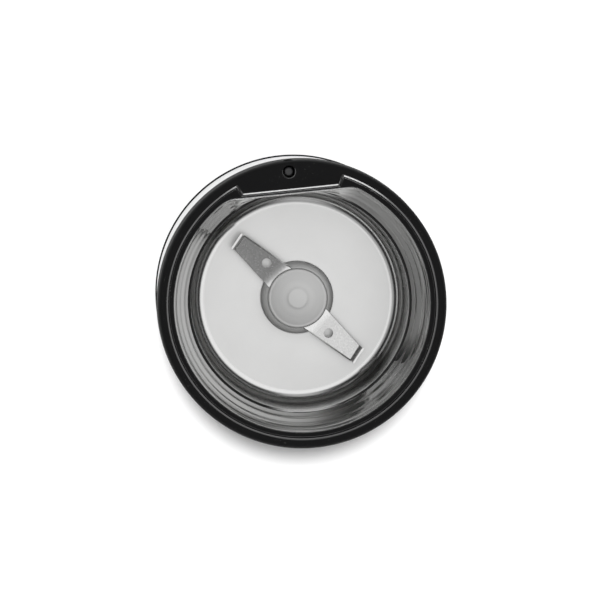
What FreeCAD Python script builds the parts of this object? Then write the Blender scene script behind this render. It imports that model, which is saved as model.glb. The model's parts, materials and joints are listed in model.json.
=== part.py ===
import FreeCAD, Part
import math
import os

# Blade type spice grinder standing upright with its lid off.
# Millimetres, +Z up, origin on the table under the middle of the body, lid tab side towards +Y.

V = FreeCAD.Vector
UP = V(0, 0, 1)
ORIGIN = V(0, 0, 0)

# Outer casing; its other radii follow from body_r
body_r = 46.0                # widest part of the collar
sleeve_inset = 0.45          # sleeve behind the collar
base_h = 43.5                # table to the lower edge of the sleeve
plate_z = 1.5                # underside of the bottom cover
plate_t = 2.5
bowl_depth = 46.0            # rim to the floor of the bowl
collar_h = 14.0              # collar height that shows above the sleeve
collar_band = 2.0            # upright lower part of the collar
collar_draft = 1.3           # how far the collar narrows to its top face
collar_round = 0.9           # rounding of the collar's outer edge
skirt_depth = 8.0            # collar skirt inside the sleeve
spigot_h = 4.0               # base spigot inside the sleeve
lip_proud = 0.15             # thin lip of the base under the sleeve
lip_h = 3.0
base_taper = 4.65            # how far the base narrows to its lower edge
foot_rim_w = 2.0             # lower rim round the bottom cover
foot_round = 1.2
sleeve_wall = 0.5
shell_wall = 1.3             # inner housing, skirt and spigot
base_wall = 2.4
slip = 0.2                   # clearance between parts that slide together in assembly
run_gap = 0.3                # clearance between curved faces of different moving bodies
sink = 0.5                   # how far a rib or boss runs into the wall it grows from
past = 1.0                   # how far a cutter runs past the face it cuts

# Collar ledge and the flat land at the back
rim_w = 2.6                  # width of the collar's top face
ledge_w = 1.6
ledge_drop = 1.5             # top face down to the ledge
ledge_t = 1.4                # ledge thickness
land_back = 1.5              # land's front edge behind the flat side of the mouth
land_half_angle = 22.8       # degrees each side of +Y
edge_round = 0.5

# Grinding bowl
wall_taper = 4.9             # how far the upper wall narrows to the step
step_w = 0.6
step_edge = 0.35             # chamfer below the step
wall_draft = 0.3             # how far the lower wall narrows to the floor
flat_bite = 0.2              # how far the mouth's flat side still cuts the circle at the step
mouth_corner = 8.0           # corner radius of the mouth
step_depth = 20.0            # rim to the step in the wall
bowl_fillet = 4.4
bowl_t = 0.6
flange_gap = 0.4             # bowl flange to the inner housing
flange_back = 3.2
lip_show = 0.8               # bowl's lip that shows along the flat side of the mouth
flange_corner = 5.0
boss_r = 11.8                # foot of the raised centre
boss_draft = 0.4
boss_h = 3.2
boss_round = 1.5             # rounding of the raised centre's upper edge
boss_foot_round = 0.5

# Blade and its cap
blade_t = 1.2
hub_r = 8.3
wing_start = 0.5             # where the wings begin inside the hub
wing_root = 8.6              # distance out to the root of the wing
wing_root_w = 9.8
tip_clear = 8.7              # bend of the tip to the bowl's wall
wing_sweep = 2.7             # sideways lead of the tip over the root
wing_tip_w = 5.9
wing_turn = 16.0             # degrees that the tip's edge is turned
wing_pitch = 15.0            # degrees
wing_settle = 2.9            # length over which the pitch comes in
blade_angle = 124.2          # degrees from +X to the first wing, as photographed
tip_h = 3.4                  # height of the turned-up tip
tip_lean = 12.0              # degrees outwards
tip_edge_t = 0.5             # thickness of the tip's ground upper edge
tip_grind = 1.3              # height of that ground edge
tip_side = 0.15              # how far the tip stands past the wing on each side
tip_out = 0.35               # middle of the tip beyond the bend
tip_aside = 0.1
tip_up = 0.05
bevel_w = 0.9                # ground long edge
bevel_t = 0.7
hole_r = 1.55                # round hole in each wing
hole_at = 15.2
hole_side = 0.35
cap_r = 9.75
cap_edge_h = 1.2
cap_dome_h = 0.9
cap_round = 0.5
cap_relief = 0.35
washer_t = 1.0
washer_r = 8.0
washer_taper = 0.5

# Shaft, seal and bearings
shaft_r = 3.0
shaft_grip = 0.02            # clearance of the pieces pressed on the shaft
shaft_clear = 0.05           # running clearance of the shaft, radial
shaft_over = 0.3             # shaft's end above the cap's upright edge
shaft_chamfer = 0.4
seal_r = 6.0
seal_h = 3.6
seal_flange_r = 7.6
seal_flange_t = 0.5
bearing_r = 5.5
bearing_h = 5.4
bearing_lip = 0.4            # ledge that a bearing rests on
bearing_step = 0.6           # clearance of the shaft in a bracket
thrust_r = 4.6
thrust_t = 0.4

# Motor
motor_clear = 8.4            # stator to the circle of the posts
stator_flat = 8.0            # how much narrower the stator is along Y
stator_frame = 5.5           # width of the stator's frame
stator_corner = 7.0
stack_h = 20.0               # lamination stack
pole_depth = 12.0            # outside of the stator to the armature
air_gap = 0.5
pole_neck = 16.0
pole_shoe_t = 2.6
pole_shoe_x = 8.5            # where the pole shoes end
slot_count = 12
slot_w = 2.0
slot_depth = 4.5
slot_liner = 0.15
coil_over = 5.0              # coil beyond the stack, each end
coil_t = 5.4
coil_gap = 0.2
wind_over = 5.4              # armature end turns beyond the core
wind_back = 1.2
wind_round = 2.0
commutator_r = 7.0
commutator_h = 7.0
commutator_up = 1.0          # commutator above the lower bracket
commutator_gap = 0.5
commutator_bar_t = 1.0
bracket_t = 2.5
bracket_w = 15.0
bracket_clear = 2.0          # coils to the upper bracket
bracket_leg = 4.5
bracket_corner = 2.0
window_w = 9.0               # openings in the lower bracket
window_at = 18.5
bearing_boss_r = 8.0
brush_w = 4.0
brush_back = 3.45            # room for the leaf spring behind a brush
brush_gap = 0.15
brush_wall = 1.4
brush_up = 0.3
brush_front = 1.6            # holder's front end to the commutator
leaf_t = 0.3
leaf_w = 3.0
brush_room = 11.5            # lower bracket to the coils
fan_clear = 3.4              # shaft's lower end above the bottom cover
fan_room = 9.6               # shaft's lower end to the lower bracket
fan_up = 0.4
fan_back = 6.5
fan_hub = 2.2
fan_blade_h = 5.0
fan_blade_t = 1.1
fan_disc_t = 1.2
fan_blades = 8

# Inner housing
shelf_t = 2.5
shelf_hole_r = 16.0
cushion_t = 2.4              # rubber ring between shelf and bowl
cushion_w = 3.5
cushion_back = 2.8           # ring's outer edge to the floor's rounding
post_r = 3.2
post_back = 9.2              # posts to the inside of the shell
post_angles = (20.0, 160.0, 270.0)
rib_t = 1.6
mount_t = 1.0
mount_r = 4.0
motor_screw_back = 2.8       # motor screws to the stator's edge
motor_screw_len = 9.0

# Lid interlock
pin_r = 1.3
socket_r = 1.95
socket_depth = 3.5
pin_recess = 3.7             # pin top below the land
pin_clear = 0.1
pin_round = 0.35
pin_low = 4.0                # pin below its guide
guide_wall = 1.2
guide_len = 14.0             # guide below the land's top face
stem_back = 2.7              # stem nearer to the axis than the pin
stem_r = 1.25
shoulder_h = 3.6
shoulder_up = 1.6            # shoulder's top above the stop under the guide
interlock_travel = 3.0
nose_r = 1.5
stop_flange_r = 2.6
stop_flange_t = 1.2

# Return spring
spring_turns = 8
spring_wire_r = 0.28
spring_mean_r = 2.05
spring_len = 16.0
spring_seat = 0.05           # gap between the spring's ends and their seats

# Switch
switch_len = 18.4
switch_w = 6.4
switch_h = 10.2
switch_wall_t = 2.0
switch_round = 0.6
lever_drop = 11.0            # lever's pin below the shelf
lever_reach = 13.4           # lever's pin to the stem
lever_end = 2.2              # lever past the stem
lever_rise = 12.6            # degrees that the lever stands up at rest
lever_t = 0.4
lever_w = 4.0
lever_pin_r = 0.5
lever_over = 0.6             # lever's pin above the switch
hinge_back = 1.6             # lever's pin to the switch's inner end
ear_t = 0.8
ear_r = 1.2
ear_up = 1.0
plunger_reach = 5.0          # lever's pin to the plunger
plunger_r = 0.9
plunger_travel = 1.09
plunger_low = 1.8
plunger_bore = 3.5
touch_gap = 0.12             # least gap between nose, lever and plunger
switch_screw_low = 2.6
switch_screw_at = (4.5, 14.0)
switch_screw_r = 1.05
terminal_at = (3.5, 14.5)
terminal_w = 4.4
terminal_t = 0.8
terminal_h = 5.5

# Base fittings
foot_r = 5.0
foot_inset = 11.7            # feet to the base's lower edge
foot_sink = 1.1
foot_low = 1.0               # tapered lower part of a foot
foot_taper = 0.6
foot_angles = (45.0, 135.0, 225.0, 315.0)
vent_count = 16
vent_w = 2.2
vent_len = 11.5
vent_inset = 2.0             # vents to the feet
screw_r = 1.5
screw_len = 11.5
screw_head_r = 2.9
screw_head_h = 1.8
screw_hole = 0.1             # clearance of a screw in its hole
cross_r = 1.6
cross_t = 0.6
cross_deep = 0.9
inlet_r = 3.4
inlet_z = 14.0
inlet_wall = 1.3
inlet_lip = 1.2
inlet_lip_t = 1.0
inlet_pocket = 1.4           # depth of the flat pocket that the lip lies in
inlet_boss = 3.4             # pocket to the flat inner face
inlet_catch = 1.4
inlet_round = 0.4

# Suppressor capacitor on a tray of the inner housing, and the thermal fuse on a coil
capacitor_t = 7.0
capacitor_w = 13.0
capacitor_h = 12.0
capacitor_back = 2.1         # capacitor to the inside of the shell
capacitor_up = 4.5           # capacitor above the base's spigot
capacitor_round = 0.8
capacitor_angle = 225.0
tray_t = 2.0
fuse_r = 1.8
fuse_len = 11.0

# Radii that follow from the values above
collar_top_r = body_r - collar_draft
sleeve_r = body_r - sleeve_inset
base_lip_r = sleeve_r + lip_proud
base_foot_r = base_lip_r - base_taper
shell_out_r = sleeve_r - sleeve_wall - slip
shell_in_r = shell_out_r - shell_wall
ledge_r = collar_top_r - rim_w
mouth_r = ledge_r - ledge_w
step_upper_r = mouth_r - wall_taper
step_lower_r = step_upper_r - step_w
wall_low_r = step_lower_r - wall_draft
mouth_chord = step_upper_r - flat_bite
land_y = mouth_chord + land_back
flange_r = shell_in_r - flange_gap
flange_chord = mouth_chord + flange_back
cushion_r = wall_low_r - bowl_fillet - cushion_back
wing_bend = wall_low_r - tip_clear
post_at = shell_in_r - post_back
stator_x = 2 * (post_at - motor_clear)
stator_y = stator_x - stator_flat
armature_r = stator_x / 2 - pole_depth
fan_r = stator_x / 2 - fan_back
motor_screw_y = stator_y / 2 - motor_screw_back
pin_y = ledge_r
stem_y = pin_y - stem_back
lever_hinge_y = stem_y - lever_reach
plunger_y = lever_hinge_y + plunger_reach
switch_y0 = lever_hinge_y - hinge_back
foot_at = base_foot_r - foot_inset
vent_r1 = foot_at - foot_r - vent_inset
vent_r0 = vent_r1 - vent_len
capacitor_r1 = shell_in_r - capacitor_back
capacitor_r0 = capacitor_r1 - capacitor_t
inlet_run = (inlet_z - plate_z) / (base_h - lip_h - plate_z)
inlet_seat_y = base_foot_r + base_taper * inlet_run - inlet_pocket
inlet_inner_y = inlet_seat_y - inlet_boss

# Levels, from the table up
plate_top = plate_z + plate_t
shaft_low_z = plate_top + fan_clear
bracket_low_z = shaft_low_z + fan_room
bracket_low_top = bracket_low_z + bracket_t
stack_z = bracket_low_top + brush_room + coil_over
stack_top = stack_z + stack_h
bracket_top = stack_top + coil_over + bracket_clear + bracket_t
shelf_low = bracket_top + mount_t
shelf_top = shelf_low + shelf_t
floor_z = shelf_top + cushion_t + bowl_t
rim_z = floor_z + bowl_depth
collar_z = rim_z - collar_h
ledge_z = rim_z - ledge_drop
flange_z = ledge_z - ledge_t
step_z = rim_z - step_depth
skirt_z = collar_z - skirt_depth
spigot_z = base_h + spigot_h
boss_z = floor_z + boss_h
seal_top = boss_z + seal_flange_t
washer_z = seal_top + run_gap
blade_z = washer_z + washer_t
cap_z = blade_z + blade_t
shaft_top_z = cap_z + cap_edge_h + shaft_over
pin_top = rim_z - pin_recess
guide_z = rim_z - guide_len
lever_z = shelf_low - lever_drop
switch_top = lever_z - lever_over
nose_z = lever_z + interlock_travel + lever_t / 2 + touch_gap + nose_r
spring_z = shelf_top
spring_top = spring_z + spring_len
capacitor_z = spigot_z + capacitor_up


def cylinder(radius, z0, z1, x=0.0, y=0.0):
    return Part.makeCylinder(radius, z1 - z0, V(x, y, z0))


def tube(outer, inner, z0, z1, x=0.0, y=0.0):
    return cylinder(outer, z0, z1, x, y).cut(cylinder(inner, z0 - past, z1 + past, x, y))


def block(x0, x1, y0, y1, z0, z1):
    return Part.makeBox(x1 - x0, y1 - y0, z1 - z0, V(x0, y0, z0))


def rod_x(radius, x0, x1, y, z):
    return Part.makeCylinder(radius, x1 - x0, V(x0, y, z), V(1, 0, 0))


def rod_y(radius, y0, y1, x, z):
    return Part.makeCylinder(radius, y1 - y0, V(x, y0, z), V(0, 1, 0))


def turned(shape, degrees, axis=UP, about=ORIGIN):
    copy = shape.copy()
    copy.rotate(about, axis, degrees)
    return copy


def fused(first, *others):
    return first.fuse(list(others)).removeSplitter()


def rounded_wire(corners):
    """Closed wire in the XZ plane; each corner is x, z and the radius that rounds it."""
    edges = []
    ends = []
    count = len(corners)
    for i, (x, z, radius) in enumerate(corners):
        here = V(x, 0, z)
        before = V(corners[i - 1][0], 0, corners[i - 1][1])
        after = V(corners[(i + 1) % count][0], 0, corners[(i + 1) % count][1])
        if radius == 0:
            ends.append((here, here, None))
            continue
        to_before = (before - here).normalize()
        to_after = (after - here).normalize()
        half = to_before.getAngle(to_after) / 2
        reach = radius / math.tan(half)
        inward = (to_before + to_after).normalize()
        middle = here + inward * (radius / math.sin(half) - radius)
        ends.append((here + to_before * reach, here + to_after * reach, middle))
    for i, (start, end, middle) in enumerate(ends):
        if middle is not None:
            edges.append(Part.Arc(start, middle, end).toShape())
        following = ends[(i + 1) % count][0]
        if end.distanceToPoint(following) > 1e-6:
            edges.append(Part.LineSegment(end, following).toShape())
    return Part.Wire(edges)


def lathe(corners):
    """Solid of revolution about Z from a closed profile of x, z, radius corners."""
    return Part.Face(rounded_wire(corners)).revolve(ORIGIN, UP, 360)


def mouth_wire(radius, chord, corner, z):
    """Circle cut by a flat side at y = chord, with both corners rounded."""
    corner_x = math.sqrt((radius - corner) ** 2 - (chord - corner) ** 2)
    scale = radius / (radius - corner)
    right = V(corner_x, chord - corner, z)
    tangent_r = V(corner_x * scale, (chord - corner) * scale, z)
    tangent_l = V(-tangent_r.x, tangent_r.y, z)
    half = math.atan2(corner_x, chord - corner) / 2
    turn_r = right + V(math.sin(half), math.cos(half), 0) * corner
    turn_l = V(-turn_r.x, turn_r.y, z)
    flat_r = V(corner_x, chord, z)
    flat_l = V(-corner_x, chord, z)
    return Part.Wire([
        Part.Arc(tangent_l, V(0, -radius, z), tangent_r).toShape(),
        Part.Arc(tangent_r, turn_r, flat_r).toShape(),
        Part.LineSegment(flat_r, flat_l).toShape(),
        Part.Arc(flat_l, turn_l, tangent_l).toShape(),
    ])


def mouth_prism(radius, chord, corner, z0, z1):
    return Part.Face(mouth_wire(radius, chord, corner, z0)).extrude(V(0, 0, z1 - z0))


def rounded_bar(x_size, y_size, corner, z0, z1):
    """Upright bar of rounded rectangular section about the axis."""
    x = x_size / 2
    y = y_size / 2
    bar = block(-x, x, -y, y, z0, z1)
    upright = [e for e in bar.Edges if abs(e.tangentAt(e.FirstParameter).z) > 0.9]
    return bar.makeFillet(corner, upright)


def ring_of(shape, angles):
    return [turned(shape, angle) for angle in angles]


def polar(radius, degrees):
    return radius * math.cos(math.radians(degrees)), radius * math.sin(math.radians(degrees))


def make_collar():
    outside = lathe([
        (0, skirt_z, 0), (shell_out_r, skirt_z, 0), (shell_out_r, collar_z, 0), (body_r, collar_z, 0),
        (body_r, collar_z + collar_band, 0), (collar_top_r + edge_round / 2, rim_z, collar_round),
        (0, rim_z, 0),
    ])
    shell = outside.cut(cylinder(shell_in_r, skirt_z - past, flange_z))
    shell = shell.cut(cylinder(ledge_r, ledge_z, rim_z + past))
    mouth = mouth_prism(mouth_r, mouth_chord + lip_show, mouth_corner, flange_z - past, rim_z + past)
    shell = shell.cut(mouth)
    wedge = block(0, body_r, 0, body_r, ledge_z, rim_z)
    wedge = turned(wedge, 90 - land_half_angle)
    wedge = wedge.common(turned(block(0, body_r, 0, body_r, ledge_z, rim_z), land_half_angle))
    land = wedge.common(cylinder(ledge_r + sink, ledge_z, rim_z))
    land = land.common(block(-body_r, body_r, land_y, body_r, ledge_z, rim_z))
    front = [e for e in land.Edges if on_land_front(e)]
    land = land.makeFillet(edge_round, front)
    guide = cylinder(pin_r + pin_clear + guide_wall, guide_z, ledge_z, 0, pin_y)
    collar = fused(shell, land, guide)
    collar = collar.cut(cylinder(socket_r, rim_z - socket_depth, rim_z + past, 0, pin_y))
    return collar.cut(cylinder(pin_r + pin_clear, guide_z - past, rim_z, 0, pin_y))


def on_land_front(edge):
    """True for the upper and upright edges of the land that face the bowl."""
    box = edge.BoundBox
    inside = math.hypot(edge.CenterOfMass.x, edge.CenterOfMass.y) < ledge_r - edge_round / 2
    level = box.ZLength < 0.01
    return inside and (not level or box.ZMin > rim_z - 0.01)


def make_outer_sleeve():
    return tube(sleeve_r, sleeve_r - sleeve_wall, base_h, collar_z)


def make_inner_housing():
    shell = tube(shell_out_r, shell_in_r, spigot_z, skirt_z)
    shelf = tube(shell_in_r + sink, shelf_hole_r, shelf_low, shelf_top)
    posts = [cylinder(post_r, plate_top, shelf_low + sink, *polar(post_at, a)) for a in post_angles]
    wall_x = switch_w / 2
    wall = block(-wall_x - switch_wall_t, -wall_x, lever_hinge_y + sink, shell_in_r - slip,
                 switch_top - switch_h, shelf_low + sink)
    rib = block(post_at + post_r / 2, shell_in_r + run_gap, -rib_t / 2, rib_t / 2, spigot_z, shelf_low + sink)
    tray = block(capacitor_r0, shell_in_r + run_gap, -capacitor_w / 2, capacitor_w / 2,
                 capacitor_z - tray_t, capacitor_z)
    tray = turned(tray, capacitor_angle)
    housing = fused(shell, shelf, wall, tray, *posts, *ring_of(rib, post_angles))
    housing = housing.cut(cylinder(stem_r + run_gap, shelf_low - past, shelf_top + past, 0, stem_y))
    for side in (-1, 1):
        housing = housing.cut(cylinder(screw_r, shelf_low - past, shelf_top + past, 0, side * motor_screw_y))
    for a in post_angles:
        housing = housing.cut(cylinder(screw_r, plate_top - past, plate_top + screw_len, *polar(post_at, a)))
    for y in switch_screw_ys():
        housing = housing.cut(rod_x(switch_screw_r, -wall_x - switch_wall_t - past, -wall_x + past, y,
                                    switch_screw_z()))
    return housing


def switch_screw_ys():
    return [switch_y0 + y for y in switch_screw_at]


def switch_screw_z():
    return switch_top - switch_h + switch_screw_low


def make_base_housing():
    rim_r = base_foot_r - foot_rim_w
    inner_r = base_foot_r - base_wall
    base = lathe([
        (rim_r, plate_z, 0), (base_foot_r, plate_z, foot_round), (base_lip_r, base_h - lip_h, 0),
        (base_lip_r, base_h, 0), (shell_out_r, base_h, 0), (shell_out_r, spigot_z, 0),
        (shell_in_r, spigot_z, 0), (shell_in_r, base_h - lip_h, 0), (inner_r, plate_top + plate_z, 0),
        (rim_r - 2 * sink, plate_top, 0), (rim_r, plate_top, 0),
    ])
    lip_r = inlet_r + inlet_wall + inlet_lip
    base = fused(base, rod_y(lip_r + past, inlet_inner_y, inlet_seat_y, 0, inlet_z))
    base = base.cut(rod_y(lip_r + slip, inlet_seat_y, body_r + past, 0, inlet_z))
    return base.cut(rod_y(inlet_r + inlet_wall, inlet_inner_y - 2 * post_r, body_r + past, 0, inlet_z))


def make_cord_inlet():
    bush_r = inlet_r + inlet_wall
    lip_y = inlet_seat_y + inlet_lip_t
    inner_y = inlet_inner_y - inlet_catch
    bush = rod_y(bush_r, inner_y, lip_y, 0, inlet_z)
    lip = rod_y(bush_r + inlet_lip, inlet_seat_y, lip_y, 0, inlet_z)
    lip = lip.makeFillet(inlet_round, [e for e in lip.Edges if e.BoundBox.YMin > lip_y - inlet_round / 2])
    catch = rod_y(bush_r + inlet_lip / 2, inner_y, inlet_inner_y, 0, inlet_z)
    return fused(bush, lip, catch).cut(rod_y(inlet_r, inner_y - past, lip_y + past, 0, inlet_z))


def make_base_plate():
    plate = cylinder(base_foot_r - foot_rim_w - slip, plate_z, plate_top)
    slot = block(vent_r0, vent_r1, -vent_w / 2, vent_w / 2, plate_z - past, plate_top + past)
    ends = [cylinder(vent_w / 2, plate_z - past, plate_top + past, x, 0) for x in (vent_r0, vent_r1)]
    slots = ring_of(slot.fuse(ends), [i * 360.0 / vent_count for i in range(vent_count)])
    plate = plate.cut(slots)
    for a in foot_angles:
        x, y = polar(foot_at, a)
        plate = plate.cut(cylinder(foot_r + screw_hole, plate_z - past, plate_z + foot_sink, x, y))
    for a in post_angles:
        x, y = polar(post_at, a)
        plate = plate.cut(cylinder(screw_r + screw_hole, plate_z - past, plate_top + past, x, y))
        plate = plate.cut(cylinder(screw_head_r + slip, plate_z - past, head_top_z(), x, y))
    return plate


def head_top_z():
    """Seat of the base screws' heads in the bottom cover."""
    return plate_z + screw_hole + screw_head_h


def make_rubber_feet():
    foot = lathe([
        (0, 0, 0), (foot_r - foot_taper, 0, foot_low / 2), (foot_r, foot_low, 0),
        (foot_r, plate_z + foot_sink, 0), (0, plate_z + foot_sink, 0),
    ])
    return Part.makeCompound([foot.translated(V(*polar(foot_at, a), 0)) for a in foot_angles])


def screw(z_head, length, direction):
    """Cross recessed screw on the Z axis; its head is on the far side from its direction."""
    head = cylinder(screw_head_r, 0, screw_head_h)
    shank = cylinder(screw_r - screw_hole / 2, screw_head_h / 2, length)
    arm = block(-cross_r, cross_r, -cross_t / 2, cross_t / 2, -past, cross_deep)
    body = fused(head, shank).cut([arm, turned(arm, 90)])
    if direction < 0:
        body = turned(body, 180, V(1, 0, 0))
    return body.translated(V(0, 0, z_head))


def make_base_screws():
    one = screw(head_top_z() - screw_head_h, screw_len, 1)
    return Part.makeCompound([one.translated(V(*polar(post_at, a), 0)) for a in post_angles])


def make_grinding_bowl():
    inside = upper_bowl(0).fuse(lower_bowl(0))
    flange = mouth_prism(flange_r, flange_chord, flange_corner, flange_z - bowl_t, flange_z)
    bowl = fused(upper_bowl(bowl_t), lower_bowl(bowl_t), flange).cut(inside)
    return bowl.cut(cylinder(seal_r, floor_z - boss_h, boss_z + past))


def upper_bowl(skin):
    """Room above the step, from a circle at the step to the flat-sided mouth."""
    top = flange_z - min(skin, slip)
    return Part.makeLoft([
        mouth_wire(step_upper_r + skin, mouth_chord + skin, mouth_corner, step_z - skin),
        mouth_wire(mouth_r + skin, mouth_chord + skin, mouth_corner, top),
    ], True, True)


def lower_bowl(skin):
    """Room below the step with its filleted floor and raised centre, grown outwards by skin."""
    low = floor_z - skin
    top = step_z - skin
    edge = step_edge if skin == 0 else 0.0
    return lathe([
        (0, low + boss_h, 0), (boss_r - boss_draft - skin, low + boss_h, boss_round - skin),
        (boss_r - skin, low, boss_foot_round + skin),
        (wall_low_r + skin, low, bowl_fillet + skin), (step_lower_r + skin, top - step_edge, 0),
        (step_lower_r + skin + edge, top, 0), (0, top, 0),
    ])


def make_bowl_cushion():
    return tube(cushion_r, cushion_r - cushion_w, shelf_top, floor_z - bowl_t)


def make_shaft_seal():
    body = fused(
        cylinder(seal_r, boss_z - seal_h, boss_z + seal_flange_t / 2),
        cylinder(seal_flange_r, boss_z, seal_top),
    )
    return body.cut(cylinder(shaft_r + shaft_clear, boss_z - seal_h - past, seal_top + past))


def wing_section(out, side, width, turn, pitch):
    """Five cornered section of a wing, across the wing at distance out; one edge is ground."""
    half = width / 2
    t = blade_t / 2
    tilt = math.radians(pitch)
    skew = math.radians(turn)
    points = []
    for across, up in [(-half, -t), (half, -t), (half, t), (-half + bevel_w, t), (-half, t - bevel_t)]:
        flat = across * math.cos(tilt) - up * math.sin(tilt)
        rise = across * math.sin(tilt) + up * math.cos(tilt)
        points.append(V(out - flat * math.sin(skew), side + flat * math.cos(skew), blade_z + t + rise))
    return Part.makePolygon(points + [points[0]])


def make_blade():
    """Two pitched wings with a round hole each and a ground, turned-up tip."""
    root_out = wing_root + wing_settle
    share = wing_settle / (wing_bend - wing_root)
    mid_w = wing_root_w + (wing_tip_w - wing_root_w) * share
    wing = Part.makeLoft([
        wing_section(wing_start, 0, wing_root_w, 0, 0),
        wing_section(wing_root, 0, wing_root_w, 0, 0),
        wing_section(root_out, wing_sweep * share, mid_w, wing_turn * share, -wing_pitch),
        wing_section(wing_bend, wing_sweep, wing_tip_w, wing_turn, -wing_pitch),
    ], True, True)
    wing = fused(wing, wing_tip())
    wing = wing.cut(cylinder(hole_r, blade_z - tip_h, blade_z + tip_h, hole_at, hole_side))
    blade = fused(cylinder(hub_r, blade_z, cap_z), wing, turned(wing, 180))
    blade = blade.cut(cylinder(shaft_r + shaft_grip, blade_z - past, cap_z + past))
    return turned(blade, blade_angle)


def wing_tip():
    """Turned-up end of a wing; its upper edge is ground on the outside."""
    t = blade_t / 2
    half = wing_tip_w / 2 + tip_side
    profile = [(-t, 0), (t, 0), (t, tip_h - tip_grind), (-t + tip_edge_t, tip_h), (-t, tip_h)]
    outline = Part.makePolygon([V(x, -half, z) for x, z in profile + profile[:1]])
    tip = Part.Face(outline).extrude(V(0, 2 * half, 0))
    tip = turned(tip, tip_lean, V(0, 1, 0))
    tip = turned(tip, -wing_pitch, V(1, 0, 0))
    tip = turned(tip, wing_turn)
    return tip.translated(V(wing_bend + tip_out, wing_sweep + tip_aside, blade_z + tip_up))


def make_hub_cap():
    top = cap_z + cap_edge_h + cap_dome_h
    dome_r = (cap_r ** 2 + cap_dome_h ** 2) / (2 * cap_dome_h)
    cap = cylinder(cap_r, cap_z, top).common(Part.makeSphere(dome_r, V(0, 0, top - dome_r)))
    rim = [e for e in cap.Edges if e.BoundBox.ZLength < cap_round / 2 and e.BoundBox.ZMin > cap_z + cap_round]
    cap = cap.makeFillet(cap_round, rim)
    cap = cap.cut(tube(cap_r + past, hub_r, cap_z - past, cap_z + cap_relief))
    return cap.cut(cylinder(shaft_r + shaft_grip, cap_z - past, shaft_top_z))


def make_blade_washer():
    washer = lathe([
        (0, washer_z, 0), (washer_r - washer_taper, washer_z, washer_taper / 2), (washer_r, blade_z, 0),
        (0, blade_z, 0),
    ])
    return washer.cut(cylinder(shaft_r + shaft_grip, washer_z - past, blade_z + past))


def make_drive_shaft():
    shaft = cylinder(shaft_r, shaft_low_z, shaft_top_z)
    return shaft.makeChamfer(shaft_chamfer, [e for e in shaft.Edges if e.BoundBox.ZLength < shaft_chamfer])


def bracket_legs(z0, z1):
    leg = block(-bracket_w / 2, bracket_w / 2, stator_y / 2 - bracket_leg, stator_y / 2, z0, z1)
    return leg, turned(leg, 180)


def make_upper_bracket():
    low = bracket_top - bracket_t
    boss_top = low + bearing_lip + bearing_h + bearing_lip
    plate = rounded_bar(bracket_w, stator_y, bracket_corner, low, bracket_top)
    boss = cylinder(bearing_boss_r, low - bearing_step, boss_top)
    bracket = fused(plate, boss, *bracket_legs(stack_top, low + sink))
    bracket = bracket.cut(cylinder(bearing_r, low + bearing_lip, boss_top + past))
    bracket = bracket.cut(cylinder(shaft_r + bearing_step, low - 2 * past, boss_top + past))
    hole = cylinder(screw_r, motor_screw_low(), bracket_top + past, 0, motor_screw_y)
    return bracket.cut([hole, turned(hole, 180)])


def motor_screw_low():
    """Bottom of the motor screws' holes."""
    return shelf_top + screw_head_h - motor_screw_len - past


def make_lower_bracket():
    low = bracket_low_z - bearing_h / 2
    plate = rounded_bar(stator_y, stator_y, 2 * bracket_corner, bracket_low_z, bracket_low_top)
    window = rounded_bar(window_w, window_w, bracket_corner, bracket_low_z - past, bracket_low_top + past)
    plate = plate.cut([window.translated(V(*polar(window_at, a), 0)) for a in foot_angles])
    boss = cylinder(bearing_boss_r, low, bracket_low_top + sink)
    bracket = fused(plate, boss, *bracket_legs(bracket_low_top - sink, stack_z))
    bracket = bracket.cut(cylinder(bearing_r, low - past, bracket_low_top - shaft_grip))
    return bracket.cut(cylinder(shaft_r + bearing_step, low - past, bracket_low_top + past))


def make_bearing(z0, z1):
    bush = tube(bearing_r, shaft_r + shaft_clear, z0, z1)
    outer = [e for e in bush.Edges if e.BoundBox.ZLength < sink and e.BoundBox.XLength > 2 * shaft_r + 1]
    return bush.makeChamfer(shaft_chamfer, outer)


def make_stator_core():
    frame = rounded_bar(stator_x, stator_y, stator_corner, stack_z, stack_top)
    inner_x = stator_x - 2 * stator_frame
    inner_y = stator_y - 2 * stator_frame
    frame = frame.cut(rounded_bar(inner_x, inner_y, stator_corner / 2, stack_z - past, stack_top + past))
    bore_r = armature_r + air_gap
    shoe = tube(bore_r + pole_shoe_t, bore_r, stack_z, stack_top)
    shoe = shoe.common(block(pole_shoe_x, stator_x, -stator_y, stator_y, stack_z, stack_top))
    neck = block(bore_r + sink, inner_x / 2 + sink, -pole_neck / 2, pole_neck / 2, stack_z, stack_top)
    pole = shoe.fuse(neck)
    core = fused(frame, pole, turned(pole, 180))
    return core.cut(cylinder(bore_r, stack_z - past, stack_top + past))


def make_field_coil(side):
    x0 = armature_r + air_gap + pole_shoe_t + coil_gap
    x1 = stator_x / 2 - stator_frame - coil_gap
    half = pole_neck / 2
    reach = min(coil_t, stator_y / 2 - stator_frame - half - 2 * coil_gap)
    outer = block(x0, x1, -half - reach, half + reach, stack_z - coil_over, stack_top + coil_over)
    along = [e for e in outer.Edges if e.BoundBox.XLength > (x1 - x0) / 2]
    outer = outer.makeFillet(coil_over * 0.8, along)
    thin = coil_gap / 2
    hole = block(x0 - past, x1 + past, -half - thin, half + thin, stack_z - thin, stack_top + thin)
    coil = outer.cut(hole)
    return coil if side > 0 else turned(coil, 180)


def slot_block(width, depth, z0, z1):
    return block(armature_r - depth, armature_r + past, -width / 2, width / 2, z0, z1)


def slot_angles():
    return [(i + 0.5) * 360.0 / slot_count for i in range(slot_count)]


def make_armature_core():
    core = cylinder(armature_r, stack_z, stack_top)
    slot = slot_block(slot_w, slot_depth, stack_z - past, stack_top + past)
    core = core.cut(ring_of(slot, slot_angles()))
    return core.cut(cylinder(shaft_r + shaft_grip, stack_z - past, stack_top + past))


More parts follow.
